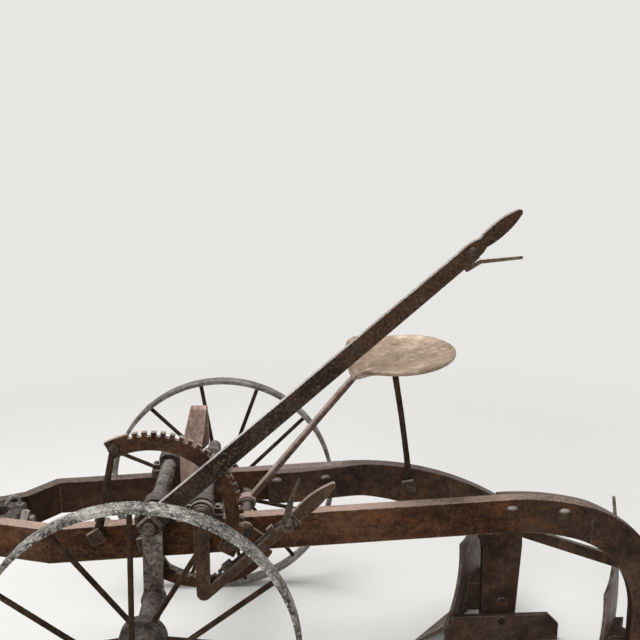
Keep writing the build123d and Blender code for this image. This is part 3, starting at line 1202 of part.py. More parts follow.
save("standard_brace", make_brace())
front_faces = (right_inner - BRACE_SHEET, right_inner + BAR_THICKNESS)
rear_faces = (LEFT_FACE, left_inner + BRACE_SHEET)
brace_bolts = [
    bolt_y(*FRONT_BRACE, front_faces, nut_side=-1, head_height=2.8, tail=7.0, turn=8)
    + square_nut((FRONT_BRACE[0], front_faces[0], FRONT_BRACE[1]), (0, -1, 0), turn=33, bore=2.0, height=5.0),
    bolt_y(*REAR_BRACE, rear_faces, nut_side=1, head_height=2.8, tail=7.0, turn=21)
    + square_nut((REAR_BRACE[0], rear_faces[1], REAR_BRACE[1]), (0, 1, 0), turn=12, bore=2.0, height=5.0),
]
save("strap_bolts", rest_bolt, strut_bolt, *brace_bolts)
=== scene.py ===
import json
import math

import bmesh
import bpy
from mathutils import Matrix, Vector


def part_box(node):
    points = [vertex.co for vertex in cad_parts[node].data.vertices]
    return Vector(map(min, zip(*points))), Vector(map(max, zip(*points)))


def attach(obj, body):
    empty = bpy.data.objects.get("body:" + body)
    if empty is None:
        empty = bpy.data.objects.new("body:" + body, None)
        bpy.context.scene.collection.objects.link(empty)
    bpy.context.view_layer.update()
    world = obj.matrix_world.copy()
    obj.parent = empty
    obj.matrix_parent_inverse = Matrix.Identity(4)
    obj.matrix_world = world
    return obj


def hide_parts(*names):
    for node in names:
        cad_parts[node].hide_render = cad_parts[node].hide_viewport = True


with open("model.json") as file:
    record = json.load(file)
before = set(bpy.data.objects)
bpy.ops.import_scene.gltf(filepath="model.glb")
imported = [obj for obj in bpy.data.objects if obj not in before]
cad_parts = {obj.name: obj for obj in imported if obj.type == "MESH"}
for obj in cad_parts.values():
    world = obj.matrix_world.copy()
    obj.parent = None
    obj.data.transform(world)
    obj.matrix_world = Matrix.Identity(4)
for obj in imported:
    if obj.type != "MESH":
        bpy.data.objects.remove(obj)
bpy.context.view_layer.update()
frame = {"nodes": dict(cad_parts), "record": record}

MM = 0.001
EVEN = (1, 1, 1)            # a noise with no stretch

# ---- node-tree helpers ---------------------------------------------------------


class Tree:
    """Small wrapper that adds and links shader nodes."""

    def __init__(self, name):
        self.material = bpy.data.materials.new(name)
        self.material.use_nodes = True
        self.nodes = self.material.node_tree.nodes
        self.links = self.material.node_tree.links
        self.shader = self.nodes["Principled BSDF"]
        self.place = self.add("ShaderNodeTexCoord").outputs["Object"]

    def add(self, kind, inputs=None, **settings):
        node = self.nodes.new(kind)
        for key, value in settings.items():
            setattr(node, key, value)
        for key, value in (inputs or {}).items():
            self.feed(value, node.inputs[key])
        return node

    def feed(self, value, socket):
        if isinstance(value, bpy.types.NodeSocket):
            self.links.new(value, socket)
        else:
            socket.default_value = value

    def noise(self, scale, detail=4.0, rough=0.6, distortion=0.0, stretch=EVEN, seed=0.0):
        mapping = self.add("ShaderNodeMapping", {
            "Vector": self.place, "Scale": stretch, "Location": (seed, seed * 1.7, -seed)})
        node = self.add("ShaderNodeTexNoise", {
            "Vector": mapping.outputs[0], "Scale": scale, "Detail": detail, "Roughness": rough,
            "Distortion": distortion})
        return node.outputs["Fac"]

    def cells(self, scale, seed=0.0):
        mapping = self.add("ShaderNodeMapping", {"Vector": self.place, "Location": (seed, seed, seed)})
        node = self.add("ShaderNodeTexVoronoi", {"Vector": mapping.outputs[0], "Scale": scale})
        return node.outputs["Distance"]

    def math(self, operation, a, b=0.0, clamp=False):
        return self.add("ShaderNodeMath", {0: a, 1: b}, operation=operation, use_clamp=clamp).outputs[0]

    def step(self, value, low, high):
        """0 below low, 1 above high, smooth between."""
        node = self.add("ShaderNodeMapRange", {
            "Value": value, "From Min": low, "From Max": high}, interpolation_type="SMOOTHSTEP")
        return node.outputs["Result"]

    def mix(self, factor, a, b):
        node = self.add("ShaderNodeMix", data_type="RGBA")
        self.feed(factor, node.inputs["Factor"])
        self.feed(rgba(a), node.inputs["A"])
        self.feed(rgba(b), node.inputs["B"])
        return node.outputs["Result"]

    def ramp(self, value, stops):
        node = self.add("ShaderNodeValToRGB", {"Fac": value})
        elements = node.color_ramp.elements
        for index, (position, colour) in enumerate(stops):
            element = elements[index] if index < 2 else elements.new(position)
            element.position = position
            element.color = rgba(colour)
        return node.outputs["Color"]


def rgba(colour):
    """A plain colour with its alpha; anything else, such as a socket, as it is."""
    return (*colour, 1.0) if isinstance(colour, tuple) and len(colour) == 3 else colour


def edge_mask(tree, radius):
    """How far the rounded normal turns at an edge, and that normal for the bump."""
    bevel = tree.add("ShaderNodeBevel", {"Radius": radius}, samples=4)
    flat = tree.add("ShaderNodeNewGeometry").outputs["Normal"]
    dot = tree.add("ShaderNodeVectorMath", {0: bevel.outputs[0], 1: flat}, operation="DOT_PRODUCT")
    return tree.math("SUBTRACT", 1.0, dot.outputs["Value"], clamp=True), bevel.outputs[0]


# noise and cell scales, per metre
BROAD_SCALE, FINE_SCALE, CRUST_SCALE, SAND_SCALE = 24, 170, 430, 950
RUST_SCALE, SPECKLE_SCALE, FLAKE_SCALE, WEAR_SCALE = 48, 520, 210, 95
CRACK_BEND_SCALE, CRACK_SCALE, CRACK_PATCH_SCALE = 150, 340.0, 90
PIT_SCALE, BLOW_SCALE = 420, 75
# how softly each layer starts, as a step in its noise
RUST_SOFT, SPECKLE_SOFT, FLAKE_SOFT = 0.16, 0.08, 0.05
# how softly the painted highlight on upward faces starts
TOP_SOFT = 0.35             # as a step in how far the surface faces up
RUST_AMOUNT = 0.7
MOTTLE_SPREAD = 0.115       # from the middle colour to the dark and the light one, in the noise
CRACK_BEND = 0.012          # metres
RAGGED = 0.08               # how far the border of a darker end wanders, in metres
TIP_SOFT = 0.0008           # metres
SAND_RELIEF, BLOW_RELIEF = 0.25, 3.0
BUMP_DISTANCE = 0.0006      # metres


def iron(name, dark, middle, light, rust=None, rust_share=0.52, worn=None, worn_amount=1.0,
         top=None, top_amount=0.0, top_from=0.55, speckle=None, speckle_share=0.56,
         flakes=None, flake_share=0.55, cracks=None, metallic=0.15, specular=0.09,
         rough=(0.45, 0.8), grain=1.0, contrast=1.0, pits=0.5, hammer=0.35, bump=0.5, seed=0.0,
         stretch=EVEN, edge_radius=0.0011, grit=1.1, tips=None, beyond=None):
    """Old hand-forged iron: mottled scale, rust, flakes, pits, upward faces lightened by a painted
    highlight with some rubbed wear, and worn edges.

    A share is where a layer starts in its noise, so a higher one leaves less of the layer.
    tips is (centre, radius, colour): paint beyond that radius round a cross axle.
    beyond is (from, to, colour, amount): another colour that comes in between two x; on the far beam
    that colour is a painted shadow.
    """
    tree = Tree(name)
    broad = tree.noise(BROAD_SCALE * grain, 5, 0.62, 0.5, stretch, seed)
    fine = tree.noise(FINE_SCALE * grain, 6, 0.72, 0.3, stretch, seed + 3)
    sand = tree.noise(SAND_SCALE, 3, 0.6, 0.0, EVEN, seed + 5)
    crust = tree.noise(CRUST_SCALE * grain, 5, 0.75, 0.6, EVEN, seed + 7)
    blend = tree.math("ADD", tree.math("MULTIPLY", broad, 0.35), tree.math("MULTIPLY", fine, 0.3))
    blend = tree.math("ADD", blend, tree.math("MULTIPLY", crust, 0.35))
    spread = MOTTLE_SPREAD / contrast
    colour = tree.ramp(blend, ((0.5 - spread, dark), (0.5, middle), (0.5 + spread, light)))
    if rust is not None:
        cloud = tree.noise(RUST_SCALE * grain, 7, 0.7, 1.4, stretch, seed + 11)
        amount = tree.step(cloud, rust_share, rust_share + RUST_SOFT)
        colour = tree.mix(tree.math("MULTIPLY", amount, RUST_AMOUNT), colour, rust)
    if speckle is not None:
        dots = tree.noise(SPECKLE_SCALE * grain, 4, 0.7, 0.4, EVEN, seed + 17)
        dotted = tree.step(dots, speckle_share, speckle_share + SPECKLE_SOFT)
        colour = tree.mix(dotted, colour, speckle)
    if flakes is not None:
        flake = tree.noise(FLAKE_SCALE * grain, 6, 0.75, 1.6, stretch, seed + 29)
        colour = tree.mix(tree.step(flake, flake_share, flake_share + FLAKE_SOFT), colour, flakes)
    if cracks is not None:
        bend = tree.noise(CRACK_BEND_SCALE, 4, 0.6, 0.0, EVEN, seed + 31)
        shift = tree.add("ShaderNodeCombineXYZ", {
            0: tree.math("MULTIPLY", bend, CRACK_BEND), 1: 0.0,
            2: tree.math("MULTIPLY", bend, -CRACK_BEND)})
        shifted = tree.add(
            "ShaderNodeVectorMath", {0: tree.place, 1: shift.outputs[0]}, operation="ADD")
        web = tree.add("ShaderNodeTexVoronoi", {
            "Vector": shifted.outputs[0], "Scale": CRACK_SCALE}, feature="DISTANCE_TO_EDGE")
        line = tree.step(web.outputs["Distance"], 0.17, 0.03)
        patch = tree.step(tree.noise(CRACK_PATCH_SCALE, 4, 0.6, 0.5, EVEN, seed + 37), 0.42, 0.58)
        colour = tree.mix(tree.math("MULTIPLY", line, patch), colour, cracks)
    edge, round_normal = edge_mask(tree, edge_radius)
    patchy = tree.step(tree.noise(WEAR_SCALE, 5, 0.65, 0.4, EVEN, seed + 23), 0.34, 0.6)
    # painted highlight: faces that turn up get lighter, as the light from above makes them, broken up
    # by the mottle, with some rubbed wear too
    if top is not None:
        normal = tree.add("ShaderNodeTexCoord").outputs["Normal"]
        up = tree.add("ShaderNodeSeparateXYZ", {0: normal}).outputs["Z"]
        top_breakup = tree.math("ADD", tree.math("MULTIPLY", tree.step(blend, 0.36, 0.56), 0.65), 0.35)
        highlight_and_rub = tree.math("MULTIPLY", tree.step(up, top_from, top_from + TOP_SOFT), top_breakup)
        colour = tree.mix(tree.math("MULTIPLY", highlight_and_rub, top_amount, clamp=True), colour, top)
    if worn is not None:
        wear = tree.math("MULTIPLY", tree.step(edge, 0.02, 0.15), patchy)
        colour = tree.mix(tree.math("MULTIPLY", wear, worn_amount, clamp=True), colour, worn)
    if beyond is not None:
        low, high, other, amount = beyond
        along = tree.add("ShaderNodeSeparateXYZ", {0: tree.place}).outputs["X"]
        wander = tree.math("MULTIPLY", tree.math("SUBTRACT", broad, 0.5), RAGGED)
        ragged = tree.math("ADD", along, wander)
        share = tree.math("MULTIPLY", tree.step(ragged, low, high), tree.step(crust, 0.38, 0.6))
        colour = tree.mix(tree.math("MULTIPLY", share, amount), colour, other)
    if tips is not None:
        centre, radius, painted = tips
        arm = tree.add("ShaderNodeVectorMath", {0: tree.place, 1: centre}, operation="SUBTRACT")
        across = tree.add(
            "ShaderNodeVectorMath", {0: arm.outputs[0], 1: (1, 0, 1)}, operation="MULTIPLY").outputs[0]
        reach = tree.add("ShaderNodeVectorMath", {0: across}, operation="LENGTH").outputs["Value"]
        colour = tree.mix(tree.step(reach, radius - TIP_SOFT, radius), colour, painted)
    value = tree.math("ADD", tree.math("MULTIPLY", tree.math("SUBTRACT", sand, 0.5), grit), 1.0)
    colour = tree.add("ShaderNodeHueSaturation", {"Color": colour, "Value": value}).outputs["Color"]
    tree.feed(colour, tree.shader.inputs["Base Color"])
    tree.shader.inputs["Metallic"].default_value = metallic
    tree.shader.inputs["Specular IOR Level"].default_value = specular
    roughness = tree.add("ShaderNodeMapRange", {
        "Value": blend, "From Min": 0.3, "From Max": 0.7, "To Min": rough[1], "To Max": rough[0]})
    tree.feed(roughness.outputs["Result"], tree.shader.inputs["Roughness"])
    pit = tree.step(tree.cells(PIT_SCALE * grain, seed), 0.05, 0.42)
    blows = tree.step(tree.cells(BLOW_SCALE, seed + 41), 0.0, 0.9)
    relief = tree.math("ADD", fine, tree.math("MULTIPLY", pit, pits))
    relief = tree.math("ADD", relief, tree.math("MULTIPLY", sand, SAND_RELIEF))
    relief = tree.math("ADD", relief, tree.math("MULTIPLY", blows, hammer * BLOW_RELIEF))
    bumped = tree.add("ShaderNodeBump", {
        "Height": relief, "Strength": bump, "Distance": BUMP_DISTANCE, "Normal": round_normal})
    tree.feed(bumped.outputs[0], tree.shader.inputs["Normal"])
    return tree.material


FORGED = {
    "dark": (0.012, 0.006, 0.004), "middle": (0.046, 0.021, 0.011), "light": (0.125, 0.064, 0.036)}
WHEEL_CENTRES = {side: sum((Vector(corner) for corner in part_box(f"{side}_wheel_rim")), Vector()) / 2
                 for side in ("land", "furrow")}
RIM_INSIDE = 0.0968         # radius beyond which only the spokes' rivet heads are seen
REAR_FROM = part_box("left_beam")[1][0] - 0.068      # the near beam is darker from here back
REAR_FADE = 0.035
FRONT_SHADE_FROM, FRONT_SHADE_TO = -0.05, -0.11     # painted shadow: the far beam darkens between these, forwards, where it lies in shade
# in each finish, top is the colour of a painted highlight on upward faces, with some rubbed wear
MATERIALS = {
    "beam_iron": iron(
        "beam_iron", **FORGED, rust=(0.140, 0.052, 0.019), rust_share=0.50, worn=(0.58, 0.47, 0.40),
        top=(0.44, 0.318, 0.260), top_amount=0.85, specular=0.07, metallic=0.1, rough=(0.42, 0.75),
        contrast=1.15, beyond=(REAR_FROM, REAR_FROM + REAR_FADE, (0.052, 0.034, 0.028), 0.85),
        stretch=(0.5, 1, 1), seed=1.0),
    # far beam: the same forged iron as the near one, with a weaker painted highlight on its top and a
    # painted shadow darkening its front
    "beam_far": iron(
        "beam_far", **FORGED, rust=(0.105, 0.046, 0.021), worn=(0.50, 0.43, 0.38),
        top=(0.25, 0.195, 0.168), top_amount=0.85, specular=0.07, metallic=0.1, rough=(0.42, 0.75),
        contrast=1.15, beyond=(FRONT_SHADE_FROM, FRONT_SHADE_TO, (0.022, 0.015, 0.012), 0.8),
        stretch=(0.5, 1, 1), seed=1.7),
    "standard_iron": iron(
        "standard_iron", (0.015, 0.010, 0.007), (0.052, 0.030, 0.020), (0.115, 0.072, 0.050),
        rust=(0.115, 0.054, 0.026), worn=(0.26, 0.205, 0.175), worn_amount=0.7,
        top=(0.155, 0.125, 0.115), top_amount=0.85, rough=(0.42, 0.75), seed=2.0),
    "rim_near": iron(
        "rim_near", (0.060, 0.054, 0.047), (0.225, 0.210, 0.187), (0.48, 0.455, 0.415),
        flakes=(0.78, 0.760, 0.725), flake_share=0.57, contrast=1.7, cracks=(0.024, 0.021, 0.018),
        grain=1.5, worn=(0.42, 0.40, 0.375), worn_amount=0.5, metallic=0.1, hammer=0.05, bump=0.6,
        seed=3.0),
    "rim_far": iron(
        "rim_far", (0.060, 0.054, 0.048), (0.172, 0.156, 0.138), (0.32, 0.298, 0.27),
        rust=(0.090, 0.066, 0.050), rust_share=0.55, worn=(0.46, 0.43, 0.40), worn_amount=0.8,
        flakes=(0.40, 0.375, 0.345), flake_share=0.60, contrast=1.4, hammer=0.1, seed=3.5),
    "spoke_near": iron(
        "spoke_near", (0.008, 0.005, 0.003), (0.028, 0.016, 0.009), (0.068, 0.042, 0.027),
        rust=(0.085, 0.037, 0.016), worn=(0.19, 0.15, 0.125), worn_amount=0.4, hammer=0.1, seed=4.0,
        tips=(WHEEL_CENTRES["land"], RIM_INSIDE, (0.21, 0.190, 0.170))),
    "spoke_far": iron(
        "spoke_far", (0.008, 0.005, 0.003), (0.028, 0.016, 0.009), (0.068, 0.042, 0.027),
        rust=(0.085, 0.037, 0.016), worn=(0.19, 0.15, 0.125), worn_amount=0.4, hammer=0.1, seed=4.5,
        tips=(WHEEL_CENTRES["furrow"], RIM_INSIDE, (0.18, 0.165, 0.150))),
    "hub_iron": iron(
        "hub_iron", (0.018, 0.015, 0.013), (0.075, 0.062, 0.052), (0.21, 0.185, 0.160),
        rust=(0.11, 0.062, 0.036), rust_share=0.56, worn=(0.38, 0.35, 0.32), worn_amount=0.6, seed=5.0),
    "lever_iron": iron(
        "lever_iron", (0.009, 0.006, 0.004), (0.029, 0.019, 0.012), (0.072, 0.047, 0.031),
        rust=(0.075, 0.036, 0.017), rust_share=0.55, worn=(0.74, 0.71, 0.67),
        top=(0.58, 0.55, 0.51), top_amount=0.95, top_from=0.3, speckle=(0.125, 0.096, 0.074),
        beyond=(-0.02, 0.05, (0.086, 0.043, 0.026), 0.8),
        rough=(0.4, 0.72), pits=0.8, hammer=0.1, seed=6.0, edge_radius=0.0006),
    "lever_rivet": iron(
        "lever_rivet", (0.020, 0.014, 0.011), (0.062, 0.046, 0.035), (0.140, 0.110, 0.088),
        worn=(0.26, 0.22, 0.19), worn_amount=0.4, top=(0.34, 0.30, 0.27), top_amount=0.6,
        top_from=0.3, hammer=0.0, seed=6.5, edge_radius=0.0004),
    "grip_iron": iron(
        "grip_iron", (0.020, 0.013, 0.009), (0.070, 0.044, 0.029), (0.150, 0.105, 0.076),
        rust=(0.125, 0.066, 0.036), worn=(0.62, 0.55, 0.48), worn_amount=0.9,
        top=(0.40, 0.335, 0.285), top_amount=0.75, top_from=0.35, hammer=0.1, seed=6.8,
        edge_radius=0.0006),
    "spike_iron": iron(
        "spike_iron", (0.016, 0.011, 0.008), (0.060, 0.044, 0.033), (0.17, 0.132, 0.105),
        worn=(0.56, 0.49, 0.42), worn_amount=0.4, hammer=0.05, seed=7.5, edge_radius=0.0004),
    "trigger_iron": iron(
        "trigger_iron", (0.035, 0.023, 0.015), (0.120, 0.082, 0.056), (0.26, 0.200, 0.150),
        worn=(0.60, 0.54, 0.48), worn_amount=0.9, top=(0.60, 0.55, 0.50), top_amount=0.95,
        top_from=0.1, hammer=0.05, seed=7.7, edge_radius=0.0005),
    "latch_iron": iron(
        "latch_iron", (0.014, 0.010, 0.008), (0.050, 0.036, 0.027), (0.135, 0.102, 0.080),
        worn=(0.44, 0.38, 0.33), worn_amount=0.9, top=(0.30, 0.25, 0.215), top_amount=0.6,
        hammer=0.1, seed=7.0, edge_radius=0.0005),
    "quadrant_iron": iron(
        "quadrant_iron", (0.012, 0.007, 0.005), (0.048, 0.024, 0.014), (0.125, 0.068, 0.040),
        rust=(0.115, 0.048, 0.021), rust_share=0.50, worn=(0.66, 0.56, 0.46),
        top=(0.38, 0.300, 0.240), top_amount=0.9, top_from=0.25, hammer=0.15, seed=8.0,
        edge_radius=0.0005),
    "shaft_iron": iron(
        "shaft_iron", (0.018, 0.014, 0.012), (0.105, 0.080, 0.066), (0.30, 0.250, 0.215),
        rust=(0.13, 0.078, 0.052), rust_share=0.56, worn=(0.40, 0.36, 0.32), worn_amount=0.7,
        top=(0.26, 0.232, 0.222), top_amount=0.45, metallic=0.3, specular=0.2, rough=(0.38, 0.7),
        hammer=0.0, contrast=1.6, flakes=(0.030, 0.026, 0.024), grain=0.8, seed=9.0),
    "bearing_iron": iron(
        "bearing_iron", (0.014, 0.011, 0.009), (0.058, 0.044, 0.035), (0.15, 0.122, 0.100),
        rust=(0.12, 0.066, 0.038), worn=(0.36, 0.32, 0.29), worn_amount=0.7,
        top=(0.20, 0.172, 0.155), top_amount=0.6, seed=10.0),
    "rest_paint": iron(
        "rest_paint", (0.105, 0.070, 0.055), (0.40, 0.275, 0.225), (0.58, 0.44, 0.37),
        rust=(0.36, 0.105, 0.065), rust_share=0.585, worn=(0.42, 0.345, 0.30), worn_amount=0.6,
        flakes=(0.120, 0.080, 0.062), flake_share=0.60, metallic=0.1, hammer=0.25, seed=11.0,
        stretch=(1, 1, 0.5)),
    "seat_metal": iron(
        "seat_metal", (0.190, 0.132, 0.090), (0.33, 0.248, 0.180), (0.50, 0.405, 0.310),
        rust=(0.32, 0.205, 0.155), rust_share=0.50, worn=(0.150, 0.092, 0.062),
        worn_amount=0.6, flakes=(0.48, 0.415, 0.335), flake_share=0.59, metallic=0.35, specular=0.25,
        speckle=(0.150, 0.105, 0.075), speckle_share=0.64, rough=(0.42, 0.62), bump=0.12, pits=0.2,
        hammer=0.5, contrast=1.5, grit=0.5, seed=12.0, grain=0.32, stretch=(0.8, 1.2, 1),
        edge_radius=0.0010),
    "strut_front": iron(
        "strut_front", (0.040, 0.025, 0.018), (0.140, 0.095, 0.072), (0.28, 0.212, 0.176),
        rust=(0.130, 0.064, 0.038), worn=(0.42, 0.34, 0.30), worn_amount=0.3,
        top=(0.47, 0.370, 0.325), top_amount=0.85, top_from=0.05, seed=13.0),
    "strut_rear": iron(
        "strut_rear", (0.010, 0.007, 0.005), (0.036, 0.021, 0.013), (0.085, 0.055, 0.038),
        rust=(0.075, 0.035, 0.016), worn=(0.26, 0.195, 0.150), worn_amount=0.8, seed=13.5,
        stretch=(1, 1, 0.4)),
    "hitch_iron": iron(
        "hitch_iron", (0.020, 0.017, 0.015), (0.070, 0.058, 0.050), (0.19, 0.166, 0.146),
        rust=(0.11, 0.060, 0.035), rust_share=0.56, worn=(0.44, 0.40, 0.36), worn_amount=0.8,
        seed=14.0),
    "pin_iron": iron(
        "pin_iron", (0.085, 0.075, 0.066), (0.21, 0.195, 0.178), (0.40, 0.38, 0.35),
        rust=(0.17, 0.105, 0.070), rust_share=0.58, worn=(0.52, 0.49, 0.45), worn_amount=0.7,
        metallic=0.45, hammer=0.1, seed=15.0),
    "rivet_iron": iron(
        "rivet_iron", (0.014, 0.008, 0.006), (0.048, 0.029, 0.019), (0.115, 0.078, 0.055),
        rust=(0.085, 0.040, 0.019), worn=(0.30, 0.230, 0.185), worn_amount=0.7,
        top=(0.44, 0.375, 0.345), top_amount=0.95, top_from=0.35, hammer=0.1, seed=16.5),
    "nut_iron": iron(
        "nut_iron", (0.014, 0.009, 0.006), (0.048, 0.032, 0.022), (0.125, 0.094, 0.072),
        rust=(0.090, 0.044, 0.022), worn=(0.48, 0.42, 0.36),
        top=(0.36, 0.31, 0.27), top_amount=0.7, hammer=0.1, seed=16.0, edge_radius=0.0007),
    "plow_steel": iron(
        "plow_steel", (0.028, 0.020, 0.015), (0.085, 0.064, 0.050), (0.205, 0.172, 0.148),
        rust=(0.14, 0.074, 0.040), rust_share=0.50, worn=(0.50, 0.46, 0.42), worn_amount=0.9,
        metallic=0.45, rough=(0.32, 0.68), hammer=0.25, seed=17.0, stretch=(0.5, 1, 1.3)),
    "landside_iron": iron(
        "landside_iron", (0.020, 0.014, 0.011), (0.058, 0.037, 0.026), (0.12, 0.082, 0.060),
        rust=(0.13, 0.064, 0.032), worn=(0.34, 0.28, 0.24), worn_amount=0.8, seed=18.0,
        stretch=(0.6, 1, 1)),
}

# nodes that look different from the rest of their slot
OWN_FINISH = {
    "land_wheel_rim": "rim_near", "furrow_wheel_rim": "rim_far", "land_wheel_spokes": "spoke_near",
    "furrow_wheel_spokes": "spoke_far", "seat_front_strut": "strut_front",
    "seat_rear_strut": "strut_rear", "beam_rivets": "rivet_iron", "main_lever_rivets": "lever_rivet",
    "plow_bolts": "rivet_iron", "seat_rivets": "seat_metal", "right_beam": "beam_far",
    "seat_rod": "bearing_iron", "quadrant_stay": "strut_rear", "furrow_lever": "grip_iron",
    "main_trigger": "trigger_iron", "furrow_trigger": "spike_iron",
}
SLOT_FINISH = {"fastener_iron": "nut_iron"}

slots = {entry["node"]: entry["material_slot"] for entry in frame["record"]["subparts"]}
for node, piece in frame["nodes"].items():
    piece.data.materials.clear()
    finish = OWN_FINISH.get(node) or SLOT_FINISH.get(slots[node], slots[node])
    piece.data.materials.append(MATERIALS[finish])

# ---- pieces that only the look needs ----------------------------------------------


def dress(piece, body, finish):
    """Put a new piece in the scene, on a body, with its material."""
    bpy.context.scene.collection.objects.link(piece)
    piece.data.materials.append(MATERIALS[finish])
    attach(piece, body)


def mesh_piece(name, rings, capped=True):
    """Smooth mesh through rings of equal point counts, capped or joined end to end."""
    points = [point for ring in rings for point in ring]
    count = len(rings[0])
    last = (len(rings) - 1) * count
    starts = [(row * count, (row + 1) * count) for row in range(len(rings) - 1)]
    if not capped:
        starts.append((last, 0))
    faces = []
    for base, above in starts:
        for k in range(count):
            following = (k + 1) % count
            faces.append((base + k, base + following, above + following, above + k))
    if capped:
        faces.append(tuple(reversed(range(count))))
        faces.append(tuple(range(last, last + count)))
    data = bpy.data.meshes.new(name)
    data.from_pydata([tuple(point) for point in points], [], faces)
    data.validate()
    work = bmesh.new()
    work.from_mesh(data)
    bmesh.ops.recalc_face_normals(work, faces=work.faces)
    for face in work.faces:
        face.smooth = True
    work.to_mesh(data)
    work.free()
    return bpy.data.objects.new(name, data)


BAR_POINTS = 20             # round a forged bar's section
BAR_STEPS = 7               # between two of its stations
HAMMERED = 0.025            # how much its thickness varies, as a share


def smooth_sections(stations):
    """Sections on a smooth (Catmull-Rom) curve through the stations."""
    last = len(stations) - 1
    sections = []
    for index in range(last):
        four = [stations[min(max(index + k, 0), last)] for k in (-1, 0, 1, 2)]
        for step in range(BAR_STEPS + (index == last - 1)):
            t = step / BAR_STEPS
            weights = (-t ** 3 / 2 + t ** 2 - t / 2, 1.5 * t ** 3 - 2.5 * t ** 2 + 1,
                       -1.5 * t ** 3 + 2 * t ** 2 + t / 2, t ** 3 / 2 - t ** 2 / 2)
            place = sum((Vector(s[0]) * w for s, w in zip(four, weights)), Vector())
            wide, thick = (sum(s[k] * w for s, w in zip(four, weights)) for k in (1, 2))
            sections.append((place, wide, thick))
    return sections


def forged_bar(name, stations, across, power=3.0):
    """Bar with a rounded section through (place, half width, half thickness) stations."""
    sections = smooth_sections(stations)
    rings = []
    for index, (place, wide, thick) in enumerate(sections):
        ahead = sections[min(index + 1, len(sections) - 1)][0]
        behind = sections[max(index - 1, 0)][0]
        tangent = (ahead - behind).normalized()
        side = (Vector(across) - tangent * tangent.dot(Vector(across))).normalized()
        rise = tangent.cross(side)
        hammered = 1 + HAMMERED * math.sin(2.3 * index) * math.sin(0.7 * index + 1)
        ring = []
        for k in range(BAR_POINTS):
            angle = 2 * math.pi * k / BAR_POINTS
            c, d = math.cos(angle), math.sin(angle)
            u = math.copysign(abs(c) ** (2 / power), c) * wide * hammered
            v = math.copysign(abs(d) ** (2 / power), d) * thick * hammered
            ring.append(place + side * u + rise * v)
        rings.append(ring)
    return mesh_piece(name, rings)


EYE_CORNER = 0.0009         # radius of an eye's rounded edges, in metres
EYE_POINTS = 40             # round an eye
EYE_SWELL = 0.02            # how far an eye is from round, as a share


def eye_ring(name, centre, inner, outer, half):
    """Forged eye round a bolt that runs across, its corners rounded."""
    middle = (inner + outer) / 2
    corners = ((outer, half), (inner, half), (inner, -half), (outer, -half))
    profile = []
    for turn, (radius, offset) in enumerate(corners):
        inward_r = -EYE_CORNER if radius > middle else EYE_CORNER
        inward_y = -EYE_CORNER if offset > 0 else EYE_CORNER
        for k in range(4):
            angle = math.radians(90 * turn + 30 * k)
            profile.append((radius + inward_r + EYE_CORNER * math.cos(angle),
                            offset + inward_y + EYE_CORNER * math.sin(angle)))
    rings = []
    for index in range(EYE_POINTS):
        angle = 2 * math.pi * index / EYE_POINTS
        swell = 1 + EYE_SWELL * math.sin(3 * angle + 0.4)
        rings.append([Vector((centre.x + r * swell * math.cos(angle), centre.y + y,
                              centre.z + r * swell * math.sin(angle))) for r, y in profile])
    return mesh_piece(name, rings, capped=False)


def joined(pieces, name):
    """One object from several, which are removed."""
    work = bmesh.new()
    for piece in pieces:
        work.from_mesh(piece.data)
        bpy.data.objects.remove(piece)
    data = bpy.data.meshes.new(name)
    work.to_mesh(data)
    work.free()
    return bpy.data.objects.new(name, data)


PAN_TOP = 0.258             # height where the pan's slope crosses its middle, in metres
PAN_SLOPE = 0.088           # rise per metre towards the rear
DISH_DEPTH = 0.009          # metres
DISH_EDGE = 1.35            # the dish stops rising here, as the square of a share of the half size
LIP_DROP = 0.0105           # metres
LIP_FROM = 0.35             # where the lip starts to drop, forwards, as a share of the half length
PAN_UNDER = -2.0            # underside below the sheet's top, in mm
PAN_DENT = 0.22             # depth of the dents, in mm
PAN_POINTS = 120            # round the pan
FRONT_PINCH = 0.065         # how far the outline is drawn in beside the tongue, as a share
# rings of the pan: share of its outline, rise above the sheet's top in mm
PAN_RIM = [(0.94, 0.15), (0.955, 0.55), (0.97, 0.95), (0.984, 0.95), (0.995, 0.5), (0.999, -0.3),
           (0.997, -1.2), (0.986, -1.9), (0.97, -2.15), (0.95, PAN_UNDER)]
PAN_RINGS = ([(0.02 + 0.90 * k / 20, 0.0) for k in range(21)] + PAN_RIM
             + [(0.92 * (1 - k / 12) + 0.02, PAN_UNDER) for k in range(13)])


def pan_outline(angle):
    """The pan's outline in its half sizes: squarer in front, most of all on the far side."""
    c, d = math.cos(angle), math.sin(angle)
    power = 2.0 if c > 0 else 2.0 + min(1.0, -2.5 * c) * (1.9 if d > 0 else 0.3)
    reach = (abs(c) ** power + abs(d) ** power) ** (-1 / power)
    if c < 0:
        reach *= 1 - FRONT_PINCH * math.exp(-((d * reach + 0.2) / 0.28) ** 2)
    return c, d, reach


